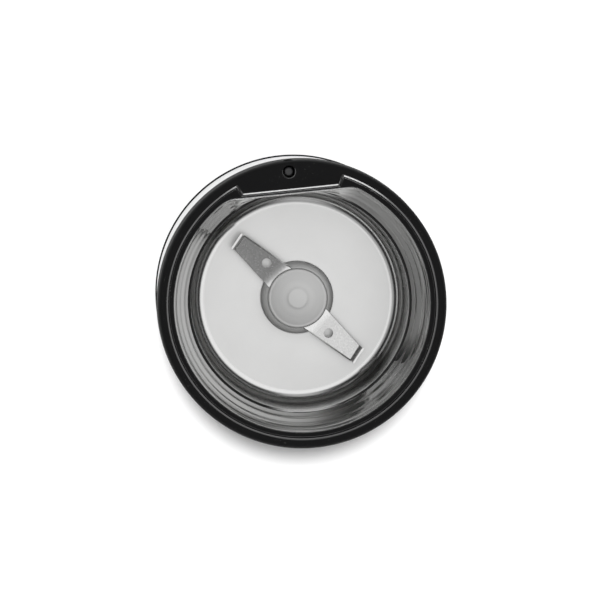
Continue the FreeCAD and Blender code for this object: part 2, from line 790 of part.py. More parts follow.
def make_armature_winding():
    end_r = armature_r - wind_back
    inner = shaft_r + bearing_step + commutator_bar_t
    low = lathe([
        (inner, stack_z - wind_over, wind_round / 2), (end_r - wind_back, stack_z - wind_over, wind_round),
        (end_r, stack_z, 0), (inner, stack_z, 0),
    ])
    top = lathe([
        (inner, stack_top, 0), (end_r, stack_top, 0),
        (end_r - wind_back, stack_top + wind_over, wind_round),
        (inner, stack_top + wind_over, wind_round / 2),
    ])
    half = slot_w / 2 - slot_liner
    bar = block(armature_r - slot_depth + slot_liner, end_r - slip, -half, half,
                stack_z - past, stack_top + past)
    return fused(low, top, *ring_of(bar, slot_angles()))


def make_commutator():
    z0 = bracket_low_top + commutator_up
    z1 = z0 + commutator_h
    body = tube(commutator_r, shaft_r + shaft_grip, z0, z1)
    half = commutator_gap / 2
    groove = block(commutator_r - commutator_bar_t, commutator_r + past, -half, half,
                   z0 - past, z1 - commutator_bar_t)
    return body.cut(ring_of(groove, slot_angles()))


def brush_z():
    return bracket_low_top + brush_up + brush_w / 2 + brush_wall


def holder_end():
    return stator_y / 2 - bracket_corner + sink


def make_brush_holder(side):
    half = brush_w / 2
    free = half + brush_gap
    z = brush_z()
    box = block(commutator_r + brush_front, holder_end(), -half - brush_wall, half + brush_wall,
                bracket_low_top, z + half + brush_wall)
    holder = box.cut(block(commutator_r, holder_end() - brush_wall, -free, free, z - free, z + free))
    return holder if side > 0 else turned(holder, 180)


def make_brush(side):
    half = brush_w / 2
    x0 = brush_start()
    brush = block(x0, brush_end(), -half, half, brush_z() - half, brush_z() + half)
    brush = brush.cut(cylinder(commutator_r + brush_gap, 0, rim_z))
    return brush if side > 0 else turned(brush, 180)


def brush_start():
    return commutator_r + brush_gap - sink


def brush_end():
    return holder_end() - brush_wall - brush_back


def make_brush_springs():
    x0 = brush_end()
    x1 = holder_end() - brush_wall
    half = leaf_w / 2
    low = brush_z() - half
    high = brush_z() + half
    leaf = block(x0, x0 + leaf_t, -half, half, low, high)
    bow = block(x0, x1, -half, half, low, low + leaf_t)
    back = block(x1 - leaf_t, x1, -half, half, low, high)
    spring = fused(leaf, bow, back)
    return Part.makeCompound([spring, turned(spring, 180)])


def make_thrust_washer():
    low = bracket_low_top + sink + shaft_clear
    return tube(thrust_r, shaft_r + shaft_grip, low, low + thrust_t)


def make_cooling_fan():
    z0 = shaft_low_z + fan_up
    disc_z = z0 + fan_blade_h
    top = disc_z + fan_disc_t
    hub_r_fan = shaft_r + fan_hub
    vane = block(hub_r_fan - sink, fan_r - sink, -fan_blade_t / 2, fan_blade_t / 2, z0, disc_z + slip)
    vanes = ring_of(vane, [i * 360.0 / fan_blades for i in range(fan_blades)])
    fan = fused(cylinder(fan_r, disc_z, top), cylinder(hub_r_fan, z0, top), *vanes)
    return fan.cut(cylinder(shaft_r + shaft_grip, z0 - past, top + past))


def make_motor_mounts():
    rings = [tube(mount_r, screw_r + run_gap, bracket_top, shelf_low, 0, s * motor_screw_y) for s in (-1, 1)]
    return Part.makeCompound(rings)


def make_motor_screws():
    one = screw(shelf_top + screw_head_h, motor_screw_len, -1)
    return Part.makeCompound([one.translated(V(0, s * motor_screw_y, 0)) for s in (-1, 1)])


def make_suppressor_capacitor():
    body = block(capacitor_r0, capacitor_r1, -capacitor_w / 2, capacitor_w / 2,
                 capacitor_z, capacitor_z + capacitor_h)
    return turned(body.makeFillet(capacitor_round, body.Edges), capacitor_angle)


def make_thermal_fuse():
    x = (armature_r + air_gap + pole_shoe_t + stator_x / 2 - stator_frame) / 2
    return rod_y(fuse_r, -fuse_len / 2, fuse_len / 2, x, stack_top + coil_over + fuse_r)


def make_switch_body():
    x = switch_w / 2
    body = block(-x, x, switch_y0, switch_y0 + switch_len, switch_top - switch_h, switch_top)
    across = [e for e in body.Edges if e.BoundBox.XLength > x]
    body = body.makeFillet(switch_round, across)
    ear = block(-x, -x + ear_t, lever_hinge_y - ear_r, lever_hinge_y + ear_r,
                switch_top - sink, lever_z + ear_up)
    body = fused(body, ear, ear.translated(V(switch_w - ear_t, 0, 0)))
    bore_z = switch_top - plunger_bore
    body = body.cut(cylinder(plunger_r + screw_hole, bore_z, switch_top + past, 0, plunger_y))
    for y in switch_screw_ys():
        body = body.cut(rod_x(switch_screw_r, -x - past, x + past, y, switch_screw_z()))
    return body.cut(rod_x(lever_pin_r + pin_clear, -x - past, x + past, lever_hinge_y, lever_z))


def make_switch_terminals():
    z = switch_top - switch_h
    half = terminal_w / 2
    ys = [switch_y0 + y for y in terminal_at]
    tabs = [block(-terminal_t / 2, terminal_t / 2, y - half, y + half, z - terminal_h, z) for y in ys]
    return Part.makeCompound(tabs)


def make_switch_screws():
    screws = []
    x = switch_w / 2
    for y in switch_screw_ys():
        z = switch_screw_z()
        shank = rod_x(switch_screw_r - screw_hole / 2, -x - switch_wall_t, x + screw_hole, y, z)
        head = rod_x(2 * switch_screw_r, x, x + ear_r, y, z)
        screws.append(fused(shank, head))
    return Part.makeCompound(screws)


def make_switch_lever():
    half = lever_w / 2
    leaf = block(-half, half, lever_hinge_y, stem_y + lever_end, lever_z - lever_t / 2, lever_z + lever_t / 2)
    leaf = turned(leaf, lever_rise, V(1, 0, 0), V(0, lever_hinge_y, lever_z))
    end = switch_w / 2 - pin_clear
    pin = rod_x(lever_pin_r, -end, end, lever_hinge_y, lever_z)
    return fused(leaf, pin)


def make_switch_plunger():
    ball_z = lever_z - lever_t / 2 - plunger_r - touch_gap + plunger_travel
    stem = cylinder(plunger_r, switch_top - plunger_low, ball_z, 0, plunger_y)
    return fused(stem, Part.makeSphere(plunger_r, V(0, plunger_y, ball_z)))


def make_interlock_pushrod():
    """Pin in the collar's guide, offset stem through the shelf and a nose that presses the lever."""
    pin = cylinder(pin_r, guide_z - pin_low, pin_top, 0, pin_y)
    pin = pin.makeFillet(pin_round, [e for e in pin.Edges if e.BoundBox.ZMin > pin_top - pin_round / 2])
    shoulder_z = guide_z - interlock_travel + shoulder_up
    shoulder = block(-stem_r, stem_r, stem_y - stem_r, pin_y + past, shoulder_z - shoulder_h, shoulder_z)
    stem = cylinder(stem_r, nose_z, shoulder_z - past, 0, stem_y)
    flange = cylinder(stop_flange_r, spring_top, spring_top + stop_flange_t, 0, stem_y)
    nose = rod_x(nose_r, -lever_w / 2, lever_w / 2, stem_y, nose_z)
    return fused(pin, shoulder, stem, flange, nose)


def biarc(p0, t0, p1, t1):
    """Two tangent arcs from p0 along t0 to p1 along t1."""
    across = p1 - p0
    total = t0 + t1
    a = 2 * (1 - t0.dot(t1))
    b = 2 * across.dot(total)
    c = -across.dot(across)
    reach = (-b + math.sqrt(b * b - 4 * a * c)) / (2 * a)
    q0 = p0 + t0 * reach
    q1 = p1 - t1 * reach
    join = (q0 + q1) * 0.5
    return [arc_to(p0, q0, join), arc_to(join, q1, p1)]


def arc_to(start, corner, end):
    """Arc from start to end whose end tangents meet at corner."""
    chord_mid = (start + end) * 0.5
    half = (end - start).Length / 2
    lift = (corner - chord_mid).Length
    reach = math.hypot(half, lift)
    sag = half * (reach - half) / lift
    middle = chord_mid + (corner - chord_mid).normalize() * sag
    return Part.Arc(start, middle, end).toShape()


def make_return_spring():
    quarters = spring_turns * 4
    low = spring_z + spring_wire_r + spring_seat
    high = spring_top - spring_wire_r - spring_seat
    rise = (high - low) / quarters
    slope = rise / (math.pi / 2)

    def place(i):
        angle = i * math.pi / 2
        point = V(spring_mean_r * math.cos(angle), stem_y + spring_mean_r * math.sin(angle), low + rise * i)
        along = V(-spring_mean_r * math.sin(angle), spring_mean_r * math.cos(angle), slope).normalize()
        return point, along

    edges = []
    for i in range(quarters):
        edges += biarc(*place(i), *place(i + 1))
    path = Part.Wire(edges)
    start, along = place(0)
    section = Part.Wire([Part.Circle(start, along, spring_wire_r).toShape()])
    gap = (high - low) / spring_turns - 2 * spring_wire_r
    print("return spring: least gap between turns %.2f mm" % gap)
    return path.makePipeShell([section], True, False)


def build_all():
    low_bearing_z = bracket_low_top - shaft_grip - bearing_h + bearing_lip
    high_bearing_z = bracket_top - bracket_t + bearing_lip
    return {
        "collar": make_collar(),
        "outer_sleeve": make_outer_sleeve(),
        "inner_housing": make_inner_housing(),
        "base_housing": make_base_housing(),
        "cord_inlet": make_cord_inlet(),
        "base_plate": make_base_plate(),
        "rubber_feet": make_rubber_feet(),
        "base_screws": make_base_screws(),
        "grinding_bowl": make_grinding_bowl(),
        "bowl_cushion": make_bowl_cushion(),
        "shaft_seal": make_shaft_seal(),
        "blade": make_blade(),
        "hub_cap": make_hub_cap(),
        "blade_washer": make_blade_washer(),
        "drive_shaft": make_drive_shaft(),
        "upper_bracket": make_upper_bracket(),
        "lower_bracket": make_lower_bracket(),
        "upper_bearing": make_bearing(high_bearing_z, high_bearing_z + bearing_h),
        "lower_bearing": make_bearing(low_bearing_z, bracket_low_top - shaft_grip),
        "stator_core": make_stator_core(),
        "field_coil_right": make_field_coil(1),
        "field_coil_left": make_field_coil(-1),
        "armature_core": make_armature_core(),
        "armature_winding": make_armature_winding(),
        "commutator": make_commutator(),
        "brush_holder_right": make_brush_holder(1),
        "brush_holder_left": make_brush_holder(-1),
        "brush_right": make_brush(1),
        "brush_left": make_brush(-1),
        "brush_springs": make_brush_springs(),
        "thrust_washer": make_thrust_washer(),
        "cooling_fan": make_cooling_fan(),
        "motor_mounts": make_motor_mounts(),
        "motor_screws": make_motor_screws(),
        "suppressor_capacitor": make_suppressor_capacitor(),
        "thermal_fuse": make_thermal_fuse(),
        "interlock_pushrod": make_interlock_pushrod(),
        "return_spring": make_return_spring(),
        "switch_body": make_switch_body(),
        "switch_terminals": make_switch_terminals(),
        "switch_screws": make_switch_screws(),
        "switch_lever": make_switch_lever(),
        "switch_plunger": make_switch_plunger(),
    }


os.makedirs("parts", exist_ok=True)
for name, shape in build_all().items():
    shape.exportStep("parts/%s.step" % name)
    box = shape.BoundBox
    print("%-22s %d solid(s) valid %s volume %9.2f z %.2f to %.2f" % (
        name, len(shape.Solids), shape.isValid(), shape.Volume, box.ZMin, box.ZMax))
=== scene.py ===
"""Looks of an electric spice grinder that stands upright with its lid off."""

import json
import math

import bpy
import bmesh
from bpy.props import FloatProperty, FloatVectorProperty, IntProperty, PointerProperty
from mathutils import Matrix, Vector


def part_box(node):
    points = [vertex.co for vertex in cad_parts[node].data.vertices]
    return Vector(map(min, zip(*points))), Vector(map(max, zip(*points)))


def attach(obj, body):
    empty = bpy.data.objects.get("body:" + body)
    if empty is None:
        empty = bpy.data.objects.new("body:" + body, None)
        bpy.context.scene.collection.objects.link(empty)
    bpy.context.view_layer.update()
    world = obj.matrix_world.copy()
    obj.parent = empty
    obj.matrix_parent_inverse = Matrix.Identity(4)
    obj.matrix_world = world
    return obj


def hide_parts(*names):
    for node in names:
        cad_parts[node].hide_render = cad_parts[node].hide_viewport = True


bl_info = {
    "name": "Spice Grinder",
    "version": (1, 0, 0),
    "blender": (4, 5, 0),
    "location": "View3D > Sidebar > Grinder",
    "description": "Builds the visible pieces and finishes of an electric spice grinder",
    "category": "Object",
}

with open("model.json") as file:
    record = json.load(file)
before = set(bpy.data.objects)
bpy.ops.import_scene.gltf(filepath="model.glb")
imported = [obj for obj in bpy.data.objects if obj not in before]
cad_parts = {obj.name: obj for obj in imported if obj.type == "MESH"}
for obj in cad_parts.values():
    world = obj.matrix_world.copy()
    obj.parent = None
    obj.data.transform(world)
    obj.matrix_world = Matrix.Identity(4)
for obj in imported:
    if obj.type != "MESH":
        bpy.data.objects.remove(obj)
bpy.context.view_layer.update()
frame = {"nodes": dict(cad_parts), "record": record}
MM = 0.001
TAU = 2 * math.pi


def low(node):
    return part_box(node)[0]


def high(node):
    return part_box(node)[1]


RIM_Z = high("collar").z
SLEEVE_LOW = low("outer_sleeve").z
SLEEVE_HIGH = high("outer_sleeve").z
BODY_R = high("collar").x
SLEEVE_R = high("outer_sleeve").x
SHELL_R = high("inner_housing").x
BLADE_Z = high("blade_washer").z
CAP_Z = low("hub_cap").z
FLOOR_Z = high("bowl_cushion").z + 0.6 * MM
# Inner edge of the bowl at its seal, the blade's hub under the cap, and the hub's bore
SEAL_R = 6.0 * MM
HUB_R = 8.3 * MM
BORE_R = 3.05 * MM
INLET_Z = (low("cord_inlet").z + high("cord_inlet").z) / 2
AT_INLET = Matrix.Translation((0, 0, INLET_Z)) @ Matrix.Rotation(-math.pi / 2, 4, "X")


def length(name, description, millimetres):
    return FloatProperty(name=name, description=description, default=millimetres * MM,
                         unit="LENGTH", precision=5)


def angle(name, description, degrees):
    return FloatProperty(name=name, description=description, default=math.radians(degrees), subtype="ANGLE")


def colour(name, description, default):
    return FloatVectorProperty(name=name, description=description, default=default, subtype="COLOR",
                               size=3, min=0.0, max=1.0)


def level(name, description, default):
    return FloatProperty(name=name, description=description, default=default, min=0.0)


class GrinderCasing(bpy.types.PropertyGroup):
    """Sizes of the collar, the sleeve and the base."""
    wall_draft: length("Wall draft", "How far the collar's side leans in", 0.3)
    round_in: length("Rounding inwards", "Rounded outer edge, measured inwards", 1.2)
    round_down: length("Rounding downwards", "Rounded outer edge, measured downwards", 2.4)
    ledge_r: length("Ledge radius", "Inner edge of the collar's top face", 42.1)
    ledge_drop: length("Ledge drop", "Top face down to the ledge", 1.5)
    ledge_t: length("Ledge thickness", "Thickness of the ledge", 1.4)
    edge_flat: length("Edge flat", "Sloping flat along the collar's inner edges", 0.6)
    edge_slope: angle("Edge slope", "Slope of that flat", 40.5)
    edge_soft: length("Edge rounding", "Rounding at both sides of that flat", 0.2)
    edge_draft: length("Edge draft", "Slope of the collar's inner step", 0.25)
    jog: angle("Jog", "Half of the angle over which the land steps back", 0.35)
    land_y: length("Land front", "Distance from the axis to the land's front edge", 35.9)
    land_half: angle("Land half angle", "Half of the angle that the land spans", 23.8)
    skirt_wall: length("Skirt wall", "Thickness of the collar's skirt and the base's spigot", 1.3)
    socket_r: length("Socket radius", "Radius of the interlock socket", 1.95)
    socket_deep: length("Socket depth", "Depth of the interlock socket", 3.5)
    guide_wall: length("Guide wall", "Wall of the pin's guide under the socket", 1.3)
    sleeve_wall: length("Sleeve wall", "Thickness of the steel sleeve", 0.5)
    lip_high: length("Lip height", "Height of the base's upright lip", 3.0)
    lip_proud: length("Lip edge", "How far the lip's upper edge stands proud", 0.3)
    base_taper: length("Base taper", "How far the base narrows to its lower edge", 4.65)
    base_wall: length("Base wall", "Thickness of the base's wall", 2.4)
    foot_round: length("Base rounding", "Rounding of the base's lower edge", 1.2)


class GrinderBowl(bpy.types.PropertyGroup):
    """Sizes of the grinding bowl."""
    mouth_r: length("Mouth radius", "Radius of the bowl's mouth", 40.5)
    mouth_chord: length("Mouth flat", "Distance from the axis to the flat side of the mouth", 34.8)
    mouth_corner: length("Mouth corner", "Corner radius of the mouth", 8.0)
    lip_show: length("Lip", "Steel that shows along the flat side of the mouth", 0.35)
    step_deep: length("Step depth", "Rim down to the step", 20.0)
    step_upper: length("Upper step radius", "Wall radius just above the step", 35.6)
    step_lower: length("Lower step radius", "Wall radius just below the step", 35.0)
    wall_low: length("Lower wall radius", "Wall radius above the floor's rounding", 34.7)
    floor_round: length("Floor rounding", "Radius between wall and floor", 4.4)
    boss_low: length("Boss foot", "Radius of the raised centre at the floor", 11.8)
    boss_draft: length("Boss draft", "Slope of the raised centre's side", 0.05)
    boss_round: length("Boss rounding", "Rounding of the raised centre's upper edge", 0.2)
    boss_fall: length("Boss fall", "How far the raised centre's top slopes down to its edge", 1.0)
    step_slope: level("Step slope", "Fall of the step towards the axis, in degrees", 25.0)
    ripple: length("Ripple", "Depth of the faint rolled rings in the upper wall", 0.022)
    boss_high: length("Boss height", "Height of the raised centre", 3.2)
    wall: length("Sheet", "Thickness of the steel sheet", 0.6)


class GrinderBlade(bpy.types.PropertyGroup):
    """Sizes of the blade and its cap."""
    thick: length("Thickness", "Thickness of the blade", 1.2)
    root: length("Root", "Distance from the axis to the root of a wing", 8.6)
    root_w: length("Root width", "Width of a wing at its root", 9.8)
    bend: length("Bend", "Distance from the axis to the bend of the tip", 25.8)
    sweep: length("Sweep", "Sideways lead of the tip over the root", 2.7)
    tip_w: length("Tip width", "Width of a wing at its bend", 5.9)
    tip_h: length("Tip height", "Height of the turned-up tip", 3.4)
    tip_edge: length("Tip edge", "Thickness of the tip's ground upper edge", 0.7)
    tip_level: level("Tip level", "How level the tip's upper edge is ground, 0 to 1", 0.9)
    tip_grind: length("Tip grind", "Height over which the tip is ground", 1.3)
    turn: angle("Tip turn", "Angle that the tip's edge is turned", 16)
    pitch: angle("Pitch", "Tilt of a wing about its length", 16.5)
    settle: length("Settle", "Length over which the pitch comes in", 2.9)
    heading: angle("Heading", "Direction of the first wing", 124.2)
    lean: angle("Tip lean", "Outward lean of the turned-up tip", 19)
    ground: length("Ground edge", "Width of the ground edge", 0.25)
    hole_r: length("Hole radius", "Radius of the round hole in each wing", 1.55)
    hole_at: length("Hole place", "Distance from the axis to the hole", 15.2)
    cap_r: length("Cap radius", "Radius of the hub cap", 9.75)
    cap_edge: length("Cap edge", "Height of the hub cap's upright edge", 1.2)
    cap_dome: length("Cap dome", "Height of the hub cap's dome", 0.9)
    cap_round: length("Cap rounding", "Rounding of the hub cap's upper edge", 1.3)
    cap_break: level("Cap break", "Steepness where that rounding starts, in degrees", 52)


class GrinderUnderside(bpy.types.PropertyGroup):
    """Sizes of the feet, the bottom cover, its screws and the cord inlet."""
    foot_r: length("Foot radius", "Radius of a rubber foot", 5.0)
    foot_in: length("Foot inset", "Feet to the base's lower edge", 11.7)
    foot_sink: length("Foot sink", "Depth of a foot in the bottom cover", 1.1)
    foot_count: IntProperty(name="Feet", description="Number of rubber feet", default=4, min=3)
    vent_count: IntProperty(name="Vents", description="Number of cooling slots", default=16, min=1)
    vent_w: length("Vent width", "Width of a cooling slot", 2.2)
    vent_len: length("Vent length", "Length of a cooling slot between its round ends", 11.5)
    vent_gap: length("Vent gap", "Cooling slots to the feet", 2.0)
    screw_at: length("Screw place", "Distance from the axis to a screw", 34.35)
    screw_first: angle("First screw", "Direction of the first screw", 20)
    screw_step: angle("Screw step", "Angle from the first screw to the second", 140)
    screw_change: angle("Screw change", "How much the next step differs", -30)
    head_r: length("Head radius", "Radius of a screw's head", 2.9)
    head_h: length("Head height", "Height of a screw's head", 1.8)
    shank_r: length("Shank radius", "Radius of a screw's thread", 1.45)
    inlet_r: length("Inlet radius", "Radius of the hole for the cord", 3.4)
    inlet_lip: length("Inlet lip", "Thickness of the inlet's outer lip", 1.0)


class GrinderFinish(bpy.types.PropertyGroup):
    """Colours of the finishes."""
    black: colour("Black plastic", "Moulded collar and base", (0.006, 0.006, 0.0062))
    pin: colour("Pin plastic", "Interlock pin", (0.03, 0.03, 0.031))
    grey: colour("Grey plastic", "Inner mouldings", (0.25, 0.25, 0.26))
    rubber: colour("Rubber", "Feet, bushes and seals", (0.02, 0.02, 0.02))
    steel: colour("Steel", "Bowl and blade", (0.70, 0.70, 0.695))
    # The ground edge colour is real ground steel, and it also serves as a painted highlight strip along the
    # tips' bend.
    edge: colour("Ground edge", "Cut and ground edges of the blade", (0.92, 0.92, 0.91))
    # Painted shade: this dark colour stands for the shade inside the turned-up tips.
    bend: colour("Blade bend", "Inner side of the turned-up tips, darkened by use", (0.05, 0.05, 0.05))
    sleeve: colour("Sleeve steel", "Brushed sleeve", (0.74, 0.74, 0.74))
    cap: colour("Cap metal", "Hub cap", (0.66, 0.66, 0.655))
    zinc: colour("Zinc plate", "Screws and brackets", (0.58, 0.59, 0.61))
    copper: colour("Copper", "Windings and commutator", (0.62, 0.28, 0.13))
    bronze: colour("Bronze", "Bearings and brush holders", (0.50, 0.36, 0.19))
    iron: colour("Lamination", "Motor core", (0.20, 0.20, 0.21))
    carbon: colour("Carbon", "Brushes", (0.03, 0.03, 0.03))
    capacitor: colour("Capacitor", "Case of the suppressor capacitor", (0.55, 0.40, 0.08))


class GrinderStage(bpy.types.PropertyGroup):
    """Camera, light and floor."""
    distance: length("Distance", "Camera to the middle of the rim", 1300)
    tilt: angle("Tilt", "Angle between the view and the axis", 3.86)
    toward: angle("Toward", "Side that the camera stands on", 121.9)
    roll: angle("Roll", "Picture's up direction, from +X", 84.2)
    focal: level("Focal length", "Focal length in image widths", 6.87)
    off_right: length("Offset right", "Rim centre to the picture's centre, rightward", -0.82)
    off_up: length("Offset up", "Rim centre to the picture's centre, upward", 1.45)
    box_light: level("Softbox", "Brightness of the softbox overhead", 0.68)
    box_side: angle("Softbox side", "Side that the softbox leans to, from +X", 30)
    box_lean: angle("Softbox lean", "Lean of the softbox off the axis", 13)
    box_wide: angle("Softbox width", "Half angle of the softbox", 28)
    ceiling_light: level("Ceiling", "Brightness of the lit ceiling round the softbox", 0.42)
    ceiling_wide: angle("Ceiling width", "Half angle of the lit ceiling", 34.5)
    room_light: level("Room", "Brightness of the dim part of the room", 0.03)
    horizon_light: level("Horizon", "Brightness of the white surroundings near the floor", 0.58)
    bounce_light: level("Bounce light", "Brightness of the two soft cards on either side", 0.5)
    bounce_lean: angle("Bounce lean", "Lean of the two soft cards off the axis", 47)
    bounce_wide: angle("Bounce width", "Half angle of the two soft cards", 10)
    strip_light: level("Strip", "Brightness of the long low light in front", 3.8)
    strip_lean: angle("Strip lean", "Lean of the low light off the axis", 81)
    strip_high: angle("Strip height", "Half angle of the low light, up and down", 5)
    strip_wide: angle("Strip width", "Half angle of the low light, sideways", 28)
    lamp_power: level("Lamp", "Strength of the overhead lamp", 2.6)
    lamp_lean: angle("Lamp lean", "Lean of the overhead lamp", 7.1)
    lamp_side: angle("Lamp side", "Side that the overhead lamp leans to, from +X", 100)
    lamp_size: angle("Lamp size", "Apparent size of the overhead lamp", 3.6)


GROUPS = {
    "grinder_casing": GrinderCasing,
    "grinder_bowl": GrinderBowl,
    "grinder_blade": GrinderBlade,
    "grinder_underside": GrinderUnderside,
    "grinder_finish": GrinderFinish,
    "grinder_stage": GrinderStage,
}


# Outlines and skins

def circle(radius):
    """Outline that is a circle; an outline gives the radius for a direction and an offset."""
    return lambda direction, offset: radius + offset


def from_back(direction):
    """Angle between a direction and +Y."""
    return abs((direction - math.pi / 2 + math.pi) % TAU - math.pi)


def flattened(radius, chord, corner):
    """Circle with a flat side at y = chord and rounded corners."""
    def outline(direction, offset):
        big, flat, bend = radius + offset, chord + offset, corner + offset
        away = from_back(direction)
        corner_x = math.sqrt((big - bend) ** 2 - (flat - bend) ** 2)
        if away < math.atan2(corner_x, flat):
            return flat / math.cos(away)
        if away > math.atan2(corner_x, flat - bend):
            return big
        along = corner_x * math.sin(away) + (flat - bend) * math.cos(away)
        return along + math.sqrt(along ** 2 - (big - bend) ** 2 + bend ** 2)
    return outline


def smooth(x):
    """0 below 0 and 1 above 1, smooth in between."""
    x = min(max(x, 0.0), 1.0)
    return x * x * (3 - 2 * x)


def land_outline(casing):
    """Inner edge of the collar's top face, with the flat land at the back."""
    def outline(direction, offset):
        away = from_back(direction)
        half = casing.land_half - offset / casing.ledge_r
        soft = casing.jog
        front = (casing.land_y + offset) / math.cos(min(away, half + soft))
        share = smooth((half + soft - away) / (2 * soft))
        return (casing.ledge_r + offset) * (1 - share) + front * share
    return outline


def slot_outline(half_len, half_w):
    """Outline of a slot with round ends along X."""
    def outline(direction, offset):
        half = half_w + offset
        across, along = abs(math.sin(direction)), abs(math.cos(direction))
        if across > 0 and half / across * along <= half_len:
            return half / across
        return half_len * along + math.sqrt(max(0.0, half ** 2 - (half_len * across) ** 2))
    return outline


def blend(first, second, share):
    """Outline between two others."""
    return lambda direction, offset: (
        first(direction, offset) * (1 - share) + second(direction, offset) * share)


def rows_on(outline, *places):
    """Rows of one outline; a place is an offset from it and a height."""
    return [(outline, offset, z) for offset, z in places]


def turned(*places):
    """Rows of a turned form; a place is a radius and a height, and radius 0 is a point on the axis."""
    return [(circle(radius) if radius else None, 0, z) for radius, z in places]


def plug(outline, *places):
    """Rows of a solid form: rows of one outline between two points on the axis."""
    return [*turned((0, places[0][1])), *rows_on(outline, *places), *turned((0, places[-1][1]))]


def arc(outline, offset, z, radius, start, end, steps):
    """Rows round an arc about offset and z, from the start to the end angle in degrees."""
    rows = []
    for i in range(steps + 1):
        a = math.radians(start + (end - start) * i / steps)
        rows.append((outline, offset + radius * math.cos(a), z + radius * math.sin(a)))
    return rows


def even_directions(count):
    return [TAU * i / count for i in range(count)]


def shell(rows, directions):
    """Points and faces of a closed skin whose rows run round the axis."""
    verts, rings, faces = [], [], []
    for outline, offset, z in rows:
        if outline is None:
            rings.append([len(verts)])
            verts.append((0, 0, z))
            continue
        rings.append(list(range(len(verts), len(verts) + len(directions))))
        for d in directions:
            r = outline(d, offset)
            verts.append((r * math.cos(d), r * math.sin(d), z))
    pairs = list(zip(rings[:-1], rings[1:]))
    if len(rings[0]) > 1 and len(rings[-1]) > 1:
        pairs.append((rings[-1], rings[0]))
    for a, b in pairs:
        for i in range(len(directions)):
            j = (i + 1) % len(directions)
            if len(a) == 1:
                faces.append((a[0], b[i], b[j]))
            elif len(b) == 1:
                faces.append((a[i], a[j], b[0]))
            else:
                faces.append((a[i], a[j], b[j], b[i]))
    return verts, faces


def skin(name, rows, directions):
    """Piece with a closed skin; directions are a list of angles, or the number of even ones."""
    if isinstance(directions, int):
        directions = even_directions(directions)
    return finish_mesh(name, *shell(rows, directions))


def finish_mesh(name, verts, faces, looks=(), sharp=35):
    """Piece with merged doubles and faces that point outwards; looks are its faces' material numbers."""
    mesh = bpy.data.meshes.new(name)
    mesh.from_pydata(verts, [], faces)
    for polygon, look in zip(mesh.polygons, looks):
        polygon.material_index = look
    work = bmesh.new()
    work.from_mesh(mesh)
    bmesh.ops.remove_doubles(work, verts=work.verts, dist=1e-7)
    bmesh.ops.recalc_face_normals(work, faces=work.faces)
    work.to_mesh(mesh)
    work.free()
    shade_mesh(mesh, sharp)
    return linked(name, mesh)


def shade_mesh(mesh, sharp):
    """Smooth shading, with edges sharp past an angle in degrees."""
    mesh.shade_smooth()
    mesh.set_sharp_from_angle(angle=math.radians(sharp))


def linked(name, data):
    """New object in the scene."""
    made = bpy.data.objects.new(name, data)
    bpy.context.scene.collection.objects.link(made)
    return made


def applied(piece, sharp=35):
    """Turns the live modifiers of a piece into a plain mesh, with its edges shaded again."""
    bpy.context.view_layer.update()
    graph = bpy.context.evaluated_depsgraph_get()
    mesh = bpy.data.meshes.new_from_object(piece.evaluated_get(graph))
    piece.modifiers.clear()
    piece.data = mesh
    shade_mesh(mesh, sharp)
    return piece


def combined(piece, tools, operation="DIFFERENCE", sharp=35):
    """Cuts closed tools out of a piece, or joins them to it, and removes them."""
    for tool in tools:
        modifier = piece.modifiers.new("tool", "BOOLEAN")
        modifier.operation = operation
        modifier.solver = "EXACT"
        modifier.object = tool
    applied(piece, sharp)
    for tool in tools:
        bpy.data.objects.remove(tool)
    return piece


def drill(radius, bottom, top, where, flare=0.0):
    """Round cutter about +Z, from the bottom to 2 mm past its flared top, placed by a matrix."""
    end = top + 2 * MM
    rows = plug(circle(radius), (0, bottom), (0, top - flare), (flare, top), (flare, end))
    cutter = skin("cutter", rows, 48)
    cutter.data.transform(where)
    return cutter


# Node expressions

class Value:
    """A number or vector inside a node tree; arithmetic on it adds Math nodes."""

    def __init__(self, tree, socket):
        self.tree = tree
        self.socket = socket

    def beside(self, name):
        """Another output of the same node."""
        return Value(self.tree, self.socket.node.outputs[name])

    def math(self, operation, *others):
        return self.tree.node("ShaderNodeMath", dict(enumerate((self,) + others)), operation=operation)

    def __add__(self, other):
        return self.math("ADD", other)

    def __sub__(self, other):
        return self.math("SUBTRACT", other)

    def __rsub__(self, other):
        return self.tree.node("ShaderNodeMath", {0: other, 1: self}, operation="SUBTRACT")

    def __mul__(self, other):
        return self.math("MULTIPLY", other)

    def __truediv__(self, other):
        return self.math("DIVIDE", other)

    def __pow__(self, other):
        return self.math("POWER", other)

    __radd__ = __add__
    __rmul__ = __mul__

    def sine(self):
        return self.math("SINE")

    def clamp(self):
        return self.tree.node("ShaderNodeClamp", {"Value": self})


class Tree:
    """A node tree that is built from expressions."""

    def __init__(self, tree):
        self.tree = tree

    def node(self, kind, inputs=None, out=0, **settings):
        """Adds a node: its settings first, then its sockets' values or links."""
        made = self.tree.nodes.new(kind)
        for key, setting in settings.items():
            setattr(made, key, setting)
        for key, given in (inputs or {}).items():
            socket = made.inputs[key]
            if isinstance(given, Value):
                self.tree.links.new(given.socket, socket)
            else:
                socket.default_value = given
        return Value(self, made.outputs[out]) if made.outputs else None

    def vector(self, x, y, z):
        return self.node("ShaderNodeCombineXYZ", {"X": x, "Y": y, "Z": z})


